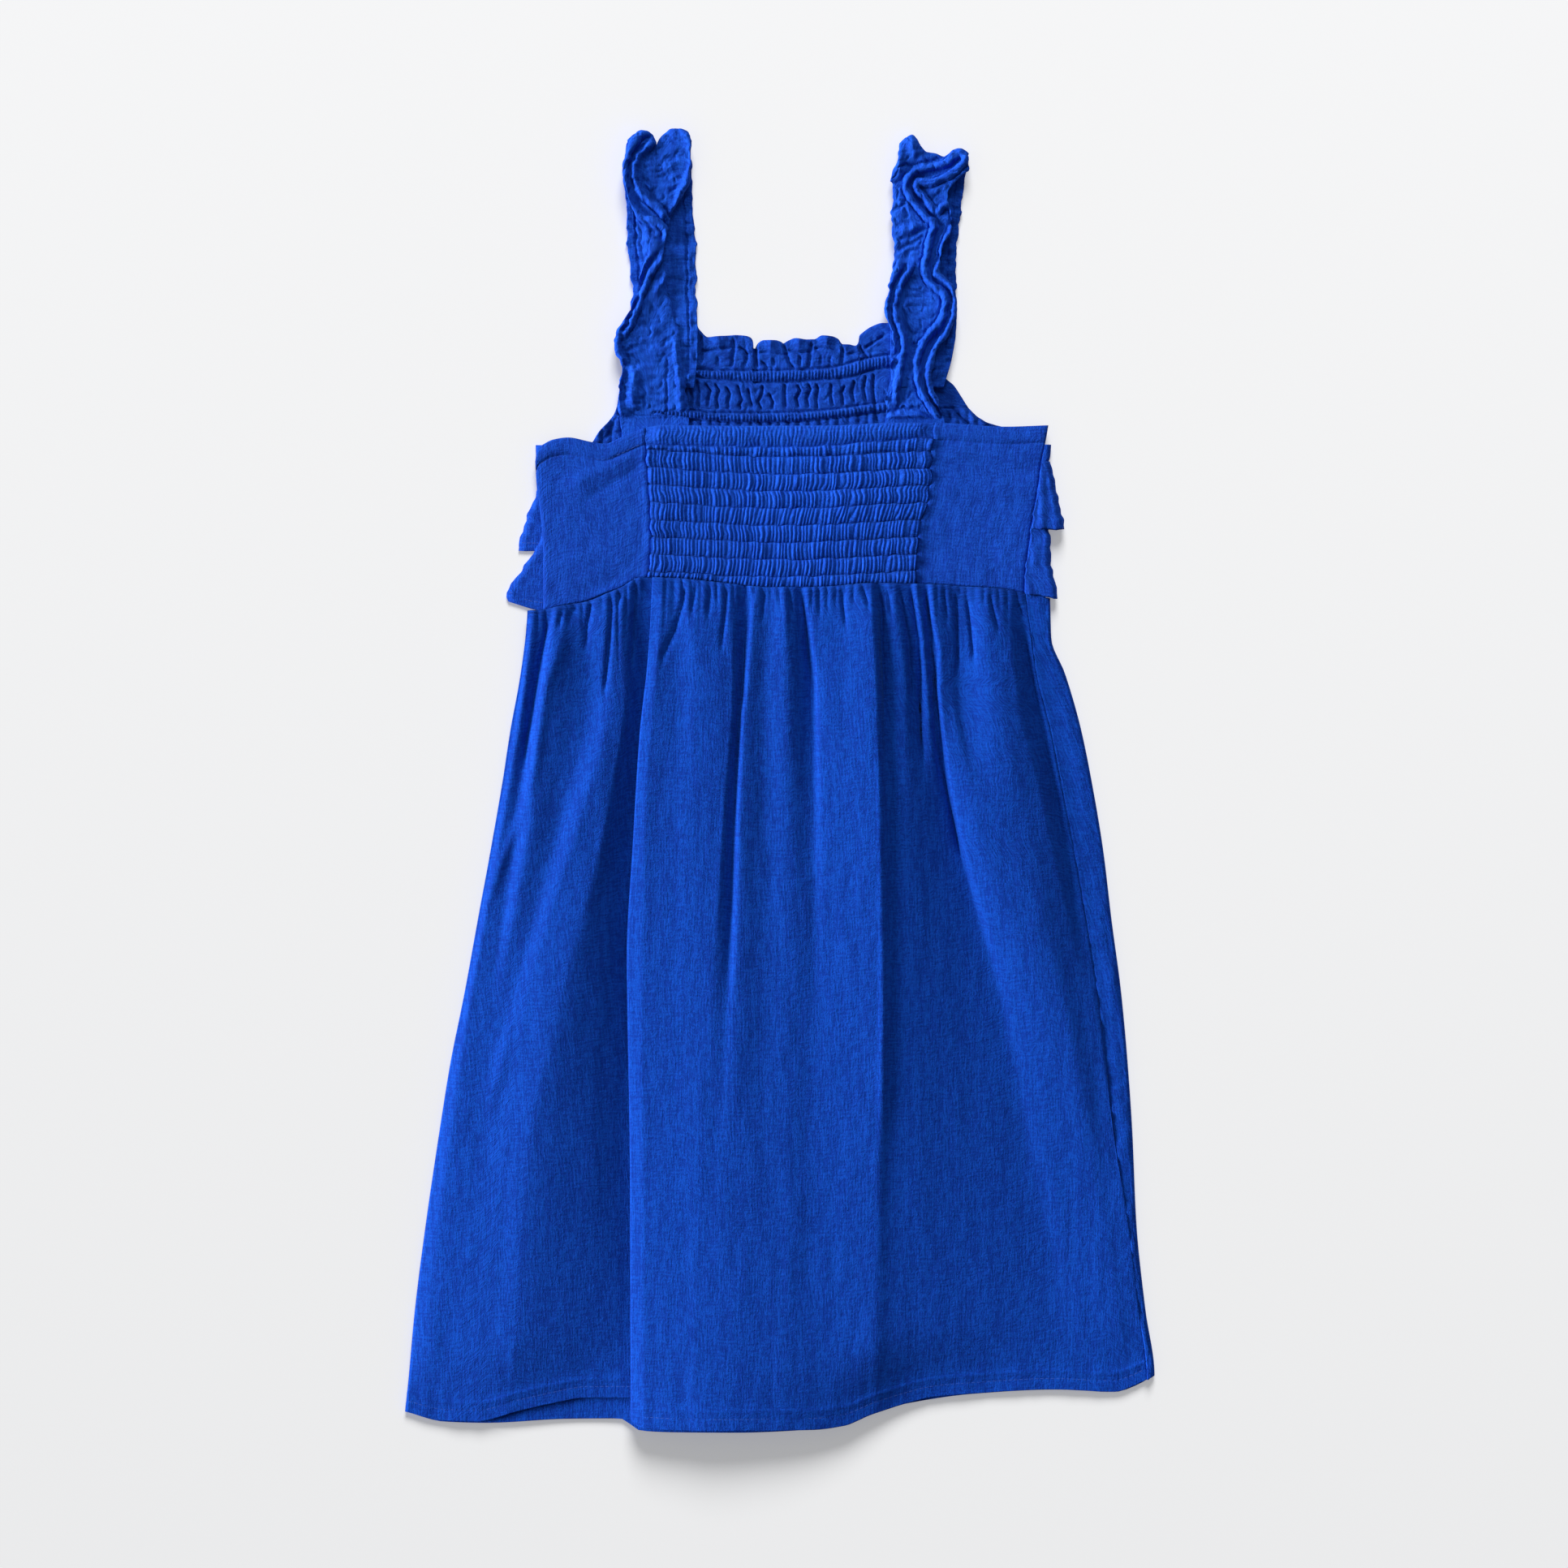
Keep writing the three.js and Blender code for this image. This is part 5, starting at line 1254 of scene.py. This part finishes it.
STRAP_RIGHT = table(STRAP_COLUMNS, [
    (63.0, 222, 92.6, 222, 2.9, 2.9, 2.9),
    (62.6, 240, 97.6, 240, 2.9, 2.9, 2.9),
    (62.4, 258, 100.0, 258, 2.9, 2.9, 2.9),
    (63.0, 281, 99.6, 281, 0.6, 0.6, 0.7),
    (65.0, 304, 100.6, 304, 0.6, 0.6, 0.6),
    (65.0, 323, 103.0, 323, 0.6, 0.6, 0.6),
    (65.6, 338, 104.2, 338, 0.6, 0.6, 0.6),
    (67.0, 351, 105.4, 350, 0.7, 0.7, 0.8),
    (68.0, 360.2, 105.4, 355.2, 1.7, 1.6, 1.8),
    (68.4, 362.3, 105.8, 357.1, 3.1, 2.8, 3.3),
    (68.2, 361.8, 106.2, 356.8, 4.8, 4.1, 5.3),
    (66.8, 357.0, 107.0, 352.6, 6.2, 5.0, 7.0),
    (62.8, 347, 106.4, 346.5, 5.4, 4.4, 7.6),
    (64.0, 338, 101.4, 340.5, 4.8, 4.2, 7.2),
    (63.6, 329.5, 95.0, 332, 4.6, 4.4, 6.6),
    (62.6, 320, 96.4, 322.5, 4.8, 4.8, 6.2),
    (63.4, 309, 97.4, 313, 5.0, 5.0, 6.0),
    (64.4, 298, 92.0, 300, 5.2, 5.2, 5.8),
    (63.2, 288, 90.4, 289, 5.4, 5.2, 5.6),
    (61.4, 276.5, 98.4, 276.5, 5.6, 5.0, 6.0),
    (59.4, 265, 99.2, 265, 5.6, 5.0, 6.0),
    (62.6, 253.5, 97.0, 253.5, 5.6, 5.0, 6.0),
    (64.0, 242, 88.8, 242, 5.6, 5.2, 5.8),
    (62.8, 228, 85.8, 228, 5.4, 5.2, 5.6),
    (60.4, 217, 88.4, 217, 4.8, 4.8, 5.0),
    (59.4, 208, 92.0, 208, 3.7, 3.7, 3.7),
    (59.0, 202.5, 94.0, 202.5, 3.1, 3.1, 3.1),
    (59.0, 192, 94.0, 192, 3.1, 3.1, 3.1),
])
STRAP_LEFT_ROLLS = [
    (3.4, 2.15, 5, [(805, 166), (794, 164), (784.6, 175), (775, 190), (771, 205), (769.7, 221),
      (771, 240), (777.8, 256), (787, 267), (797, 272.4), (810, 275), (819.7, 283), (821, 291),
      (818.4, 302)]),
    (3.2, 2.15, 5, [(807.6, 169.7), (800.8, 180.5), (791.4, 187.3), (784.6, 196.8), (781.9, 207.6),
      (782, 221), (785.9, 234.6), (792.7, 244), (802.2, 250.8), (811.6, 259), (818.4, 267), (821, 275)]),
    (3.4, 2.15, 5, [(807.6, 313), (799.5, 323.8), (792.7, 337.3), (787.3, 348), (783.2, 364.3),
      (777.8, 380.5), (771, 396.8), (763, 413), (758.9, 423.8), (760.3, 434.6), (764.3, 442.7),
      (772.4, 450.8)]),
    (3, 2.15, 5, [(821, 307.6), (810.3, 323.8), (802.2, 337.3), (795.4, 353.5), (790, 369.7),
      (784.6, 383.2), (777.8, 399.5), (769.7, 413), (765.7, 421)]),
]
STRAP_LEFT_STROKES = [
    (-2, 1.1, 5, [(798, 177.8), (788.6, 184.6), (780.5, 195.4), (776.6, 210.3), (777, 223.8),
      (780.5, 240), (787, 253.5), (795.4, 262), (804.9, 267.5)]),
    (-1.6, 1.6, 5, [(803, 184), (795, 194), (789, 204), (788, 220), (793, 234), (803, 243), (812, 250)]),
    (1.6, 2, 5, [(820, 164), (832, 160.5), (845, 166), (851, 178), (853, 195), (852, 210), (846, 226),
      (838, 243), (829, 258), (824, 268)]),
    (-1.4, 1.2, 4, [(818, 169), (831, 176), (846, 181)]),
    (-1.2, 1, 4, [(807, 218), (818, 220), (830, 218)]),
    (-1, 1, 4, [(795, 222), (806, 230), (816, 235)]),
    (-0.9, 1.1, 4, [(814, 200), (826, 196), (838, 198)]),
    (-0.9, 1.1, 4, [(820, 240), (830, 236), (838, 228)]),
    (1, 2.4, 4, [(812, 206), (824, 208), (836, 205)]),
    (-1.2, 1.1, 3, [(803, 284), (806, 292), (813, 296), (819, 294)]),
    (-1, 1, 3, [(797, 276), (804, 286), (802, 298)]),
    (-2, 1.1, 5, [(813, 312), (804.9, 322), (797.5, 334), (791.4, 348), (786.5, 364.3), (781, 380.5),
      (773.5, 398.5), (766, 414)]),
    (1.6, 2, 5, [(823, 318), (823, 335), (816, 350), (806, 365)]),
    (-1.5, 1.2, 4, [(768, 437), (775, 445.4), (773.8, 456), (769.7, 464.3), (768.4, 480.5), (765.7, 500)]),
    (1.5, 1.8, 5, [(757.5, 440), (760, 450.8), (766, 459), (763.5, 475), (762.5, 491), (765.5, 518)]),
    (1.3, 2.6, 6, [(783, 452), (782, 470), (779, 490), (780, 510)]),
    (-1.3, 1, 4, [(767, 437), (780, 430), (794, 425.5), (813, 425)]),
    (-0.9, 0.9, 4, [(794, 463), (804, 465), (814, 464)]),
    (-0.8, 0.9, 4, [(806, 440), (822, 440), (834, 437)]),
    (-0.8, 0.9, 4, [(789, 474), (796, 484), (794, 496), (797, 506)]),
    (-0.8, 0.9, 4, [(794, 487), (808, 488), (820, 486)]),
    (-1, 0.9, 4, [(786, 524), (804.9, 517), (829, 517)]),
    (-1, 0.8, 4, [(799.5, 511), (812, 509), (828, 510)]),
    (-0.9, 0.8, 4, [(776, 534), (799.5, 525.5), (829, 523)]),
    (-0.7, 0.7, 4, [(822, 440), (822, 480), (823, 524)]),
    (0.8, 1.8, 6, [(829, 410), (834, 440), (838, 480), (840, 512)]),
    (-0.8, 0.9, 4, [(800, 372), (806, 384), (814, 390)]),
    (-0.9, 0.9, 4, [(790, 396), (800, 404), (812, 400)]),
    (1, 2.6, 6, [(795, 404), (806, 412), (818, 412)]),
]
STRAP_RIGHT_ROLLS = [
    (3.4, 2.15, 4, [(1178.9, 190.5), (1170.8, 201.4), (1160, 206.8), (1143.8, 206.8), (1127.6, 209.5),
      (1118, 220.3), (1115.4, 233.8), (1120.8, 244.6), (1130.3, 258), (1138.4, 267.6), (1148, 273),
      (1152, 281), (1147, 291), (1143.8, 304), (1141, 317.6), (1138, 333.8), (1141, 346), (1153, 355),
      (1163, 364), (1164, 376), (1162, 390), (1155, 402), (1146, 411), (1138.4, 422), (1131, 435),
      (1129, 450), (1130, 469), (1135, 484), (1144, 499), (1153, 511), (1158, 518)]),
    (3.4, 2.15, 4, [(1187, 190.5), (1188.4, 201.4), (1178.9, 212), (1165.4, 220.3), (1151.9, 227),
      (1138.4, 227), (1129, 225), (1126, 231), (1130, 238), (1137, 243), (1143, 251), (1150, 261),
      (1157.3, 262), (1162, 256), (1170, 254), (1176.2, 263.5), (1176.2, 277), (1169, 290.5),
      (1163.5, 301.4), (1160, 323), (1155, 334), (1152, 340), (1162.7, 346), (1172, 354),
      (1176, 366.2), (1176, 387.8), (1170.8, 406.8), (1160, 421), (1150, 436.5), (1146.5, 449),
      (1142, 462), (1143, 476), (1150, 490.5), (1157.3, 501.4), (1163, 512), (1166, 520)]),
    (3.2, 2.15, 5, [(1111.4, 323), (1103.2, 336.5), (1096.5, 352.7), (1093, 366.2), (1092, 383),
      (1095, 400), (1100, 414.9), (1099, 431), (1095, 447.3), (1092.4, 466.2), (1087, 487.8),
      (1084, 508)]),
    (3, 2.15, 5, [(1123.5, 323), (1119, 336.5), (1109.6, 350), (1104.2, 366.2), (1102, 382.4),
      (1106, 398.6), (1112.4, 413), (1113.7, 431), (1109.6, 447.3), (1106, 466.2), (1104.2, 487.8),
      (1102, 500)]),
]
STRAP_RIGHT_STROKES = [
    (-2.2, 1, 4, [(1182, 196), (1174, 206), (1163, 213), (1148, 216), (1132, 217), (1122, 224),
      (1121, 234), (1127, 243), (1136, 254), (1146, 267), (1157, 270)]),
    (-2, 1, 4, [(1163, 276), (1157, 290), (1152, 304), (1149, 320), (1146, 335), (1148, 345),
      (1160, 352), (1169, 361), (1170, 378), (1168, 392), (1161, 408), (1150, 421), (1141, 436),
      (1138, 450), (1137, 466), (1141, 482), (1150, 497), (1159, 511), (1163, 520)]),
    (-2.4, 3, 4, [(1152, 238), (1162, 243), (1170, 240)]),
    (-2, 1, 5, [(1117.5, 326), (1110, 339), (1102, 352), (1098, 367), (1096.5, 385), (1100.5, 401),
      (1106, 417), (1105, 434), (1101, 450), (1097.5, 470), (1093, 490)]),
    (-1.4, 1.6, 5, [(1127, 340), (1117, 352), (1111, 366), (1109, 382), (1113, 397), (1119, 412),
      (1120, 430), (1117, 447), (1114, 466), (1112, 486), (1111, 500)]),
    (-1.2, 0.9, 3, [(1107, 210), (1116, 204), (1127, 207), (1140, 204)]),
    (1.4, 2.4, 4, [(1121, 172), (1124, 186), (1132, 196)]),
    (1.3, 2.4, 4, [(1104, 196), (1108, 208), (1104, 222)]),
    (-1.2, 1, 3, [(1101, 226), (1108, 228), (1113, 222)]),
    (-1.1, 0.9, 3, [(1137, 198), (1150, 201), (1162, 196)]),
    (-1.3, 1, 3, [(1100.5, 280), (1112, 276), (1124.9, 277)]),
    (-1.3, 1, 3, [(1104, 297), (1120, 294), (1134, 285), (1143, 281)]),
    (-1.3, 1, 3, [(1104, 310), (1120, 304), (1132, 296), (1140, 292)]),
    (-1.1, 0.9, 3, [(1112, 316), (1124, 310), (1136, 307)]),
    (-1.3, 1.1, 3, [(1112, 255), (1117, 266), (1113, 272)]),
    (-1.1, 1, 3, [(1099, 262), (1107, 258), (1118, 250)]),
    (1.3, 2.2, 4, [(1104, 288), (1120, 286), (1132, 278)]),
    (1.1, 2, 4, [(1103, 243), (1109, 249), (1115, 247)]),
    (-0.8, 0.9, 3, [(1119.5, 357), (1132, 361), (1146, 362)]),
    (-0.7, 0.9, 3, [(1114, 380), (1134, 378), (1155, 378)]),
    (-1.2, 0.8, 3, [(1116.8, 410.8), (1132, 412), (1147, 411)]),
    (-0.8, 0.9, 3, [(1110, 458), (1118, 457), (1126, 458)]),
    (-1.5, 0.9, 3, [(1083, 515), (1097.8, 508), (1114, 503.5), (1135.7, 505), (1142, 511), (1154.6, 517)]),
    (-1.2, 0.8, 3, [(1107, 484), (1107, 496), (1107, 506)]),
    (1.4, 2.2, 4, [(1092, 519), (1108, 512), (1130, 512), (1146, 519)]),
    (-0.8, 0.8, 3, [(1128, 420), (1124, 440), (1124, 462)]),
]


# Outlines of the shoulder folds
STRAP_LEFT_TOP = [
    (758, 215), (763, 202), (767, 186), (774, 173), (783, 165), (791, 162), (799, 163), (804, 166),
    (807, 176), (809, 184), (811, 176), (814, 170), (820, 164), (828, 160), (838, 160), (846, 164),
    (852, 174), (855, 186), (858, 204),
]
STRAP_RIGHT_TOP = [
    (1088, 226), (1096, 208), (1101, 192), (1106, 182), (1112, 174), (1118, 169), (1123, 166),
    (1128, 170), (1134, 180), (1141, 187), (1152, 189), (1163, 193), (1168, 190), (1174, 185),
    (1181, 183), (1188, 186), (1194, 192), (1198, 202),
]


def strap(name, node, sections, top, rolled_edges, strokes, seed):
    """Strap folded over at the shoulder: rolled and crinkled on top, puckered along its hidden half."""
    rows, columns = len(sections) * STRAP_ROWS_A_SECTION, STRAP_COLUMN_COUNT
    at = np.linspace(0, len(sections) - 1, rows)
    across = np.linspace(0, 1, columns)[None, :]
    read = {
        key: Curve([(i, section[key]) for i, section in enumerate(sections)])(at)[:, None]
        for key in STRAP_COLUMNS.split()}
    x = mix(read["left"], read["right"], across)
    y = mix(read["left_y"], read["right_y"], across)
    side = np.where(across < 0.5, read["left_z"], read["right_z"])
    z = mix(read["mid_z"], side, ease(np.abs(across * 2 - 1)))
    crown = sections[STRAP_CROWN]
    straight = mix(crown["left_y"], crown["right_y"], across)
    at_fold = ease(1.25 - np.abs(at - STRAP_CROWN - 0.6) / 3.4)[:, None]
    y = y + (photo_curve(top)(x) - 1.0 - straight) * at_fold
    waver = 0.8 * noise(y / 5, 0 * y, seed + 5) + 0.5 * noise(y / 2.2, 0 * y, seed + 6)
    x = x + waver * (across * 2 - 1) * ease((at[:, None] - 1) / 2)
    on_top = ease((at - STRAP_FOLD_ROW + 1.2) / 1.4) * ease((len(sections) - 2.2 - at) / 0.6)
    edge = np.minimum(across, 1 - across) * (read["right"] - read["left"])
    seam = -1.1 * ridge(edge - STRAP_STITCH, 0.6)
    puckers = noise(y / 1.3, x / 4, seed + 3) * ridge(edge - STRAP_STITCH + 1, 3)
    crinkle = 0.6 * noise(x / 5.5, y / 2.6, seed + 1) + 0.4 * puckers - 0.8 * veins(x / 7, y / 3.2, seed)
    bent_x = x + 0.7 * noise(x / 4, y / 2.6, seed + 11)
    bent_y = y + 0.7 * noise(x / 2.6, y / 4, seed + 12)
    shape = STRAP_ROLL_SCALE * rolls(bent_x, bent_y, rolled_edges)
    shape = shape + STRAP_STROKE_SCALE * relief(bent_x, bent_y, strokes)
    raised = on_top[:, None] * (shape + 0.5 + crinkle - 0.9 * rounding(edge, 0.9))
    ripples = 0.6 * noise(x / 11, y / 3.0, seed + 4) - 0.9 * veins(x / 14, y / 4.2, seed + 2)
    low = (at < STRAP_FOLD_ROW - 2)[:, None] * (1.4 + ripples + seam + 1.4 * puckers)
    middle = np.stack([x, y, z], -1)
    piece, _ = wall(name, middle, STRAP_CLOTH, np.maximum(raised, -STRAP_CLOTH * 0.6), np.maximum(low, 0))
    # The straps get the brighter copy of the cloth, a painted highlight
    return dress(piece, GAUZE_PAINTED_BRIGHTER, node)


# Stage, light and camera
FLOOR_TONE = (0.83, 0.83, 0.835)
FLOOR_GLOW = 0.32
FLOOR_HALF = 6.0
FLOOR_BELOW = 0.0002
# Places of the lights in metres, all aimed at the middle of the dress
SKY_TONE = (0.96, 0.98, 1.0)
SKY_POWER = 0.2
LEFT_AT = (-3.4, 0.4, 1.02)
LEFT_POWER = 9.2
LEFT_ANGLE = 0.55
TOP_AT = (0.3, 8.7, 5.7)
TOP_SIZE = 5.1
TOP_POWER_DRESS = 560
TOP_POWER_FLOOR = 1110
CAMERA_HEIGHT = 2400.0
PHOTO_SIZE = 1932
SENSOR = 36.0


def aim(thing, target):
    towards = thing.location.copy()
    towards.negate()
    towards += target
    thing.rotation_euler = towards.to_track_quat("-Z", "Y").to_euler()


def floor():
    corners = [(-1, -1), (1, -1), (1, 1), (-1, 1)]
    mesh = bpy.data.meshes.new("floor")
    mesh.from_pydata([(x * FLOOR_HALF, y * FLOOR_HALF, 0) for x, y in corners], [], [(0, 1, 2, 3)])
    piece = bpy.data.objects.new("floor", mesh)
    bpy.context.scene.collection.objects.link(piece)
    piece.location.z = -FLOOR_BELOW
    FLOOR_LIT.objects.link(piece)
    material = bpy.data.materials.new("paper_white")
    material.use_nodes = True
    shader = material.node_tree.nodes["Principled BSDF"]
    shader.inputs["Base Color"].default_value = (*FLOOR_TONE, 1)
    shader.inputs["Roughness"].default_value = 0.9
    shader.inputs["Specular IOR Level"].default_value = 0.1
    shader.inputs["Emission Color"].default_value = (*FLOOR_TONE, 1)
    shader.inputs["Emission Strength"].default_value = FLOOR_GLOW
    mesh.materials.append(material)


def light(name, kind, place, power, lit, **settings):
    data = bpy.data.lights.new(name, kind)
    data.energy = power
    for key, value in settings.items():
        setattr(data, key, value)
    lamp = bpy.data.objects.new(name, data)
    bpy.context.scene.collection.objects.link(lamp)
    lamp.location = place
    lamp.light_linking.receiver_collection = lit
    aim(lamp, Vector((0, 0, 0)))


def studio():
    """Low light from the left, soft light from the top of the photograph, and the camera straight above."""
    world = bpy.data.worlds.new("studio")
    world.use_nodes = True
    background = world.node_tree.nodes["Background"]
    background.inputs["Color"].default_value = (*SKY_TONE, 1)
    background.inputs["Strength"].default_value = SKY_POWER
    bpy.context.scene.world = world
    # The floor is lit evenly, so it and the dress have lights of their own
    light("dress_left", "SUN", LEFT_AT, LEFT_POWER, DRESS_LIT, angle=LEFT_ANGLE)
    light("dress_top", "AREA", TOP_AT, TOP_POWER_DRESS, DRESS_LIT, shape="DISK", size=TOP_SIZE)
    light("floor_top", "AREA", TOP_AT, TOP_POWER_FLOOR, FLOOR_LIT, shape="DISK", size=TOP_SIZE)
    bpy.context.scene.view_settings.view_transform = "Standard"
    data = bpy.data.cameras.new("camera")
    camera = bpy.data.objects.new("camera", data)
    bpy.context.scene.collection.objects.link(camera)
    data.sensor_width = SENSOR
    data.lens = SENSOR * CAMERA_HEIGHT / (PHOTO_SIZE * MM_PER_PIXEL)
    centre = photo([(PHOTO_SIZE / 2, PHOTO_SIZE / 2)])[0] * METRE
    camera.location = (centre[0], centre[1], CAMERA_HEIGHT * METRE)
    bpy.context.scene.camera = camera


floor()
studio()

skirt, skirt_stitches = back_skirt()
front = front_skirt()
left_panel, left_line = side_panel(
    "dress_back_side_left", "back_side_panel_left", "left", "shirr_left", 0, PANEL_GAP,
    LEFT_PANEL_STROKES)
right_panel, right_line = side_panel(
    "dress_back_side_right", "back_side_panel_right", "shirr_right", "right", PANEL_GAP, 0,
    RIGHT_PANEL_STROKES)
shirring = shirred_panel()
front_yoke = yoke()
bodice = front_bodice()
frill_upper, frill_lower, frill_stitches = frills()
strap_left = strap(
    "dress_strap_left", "strap_left", STRAP_LEFT, STRAP_LEFT_TOP, STRAP_LEFT_ROLLS,
    STRAP_LEFT_STROKES, 81)
strap_right = strap(
    "dress_strap_right", "strap_right", STRAP_RIGHT, STRAP_RIGHT_TOP, STRAP_RIGHT_ROLLS,
    STRAP_RIGHT_STROKES, 85)
panel_stitches = stitches("stitch_back_top", [left_line, right_line])
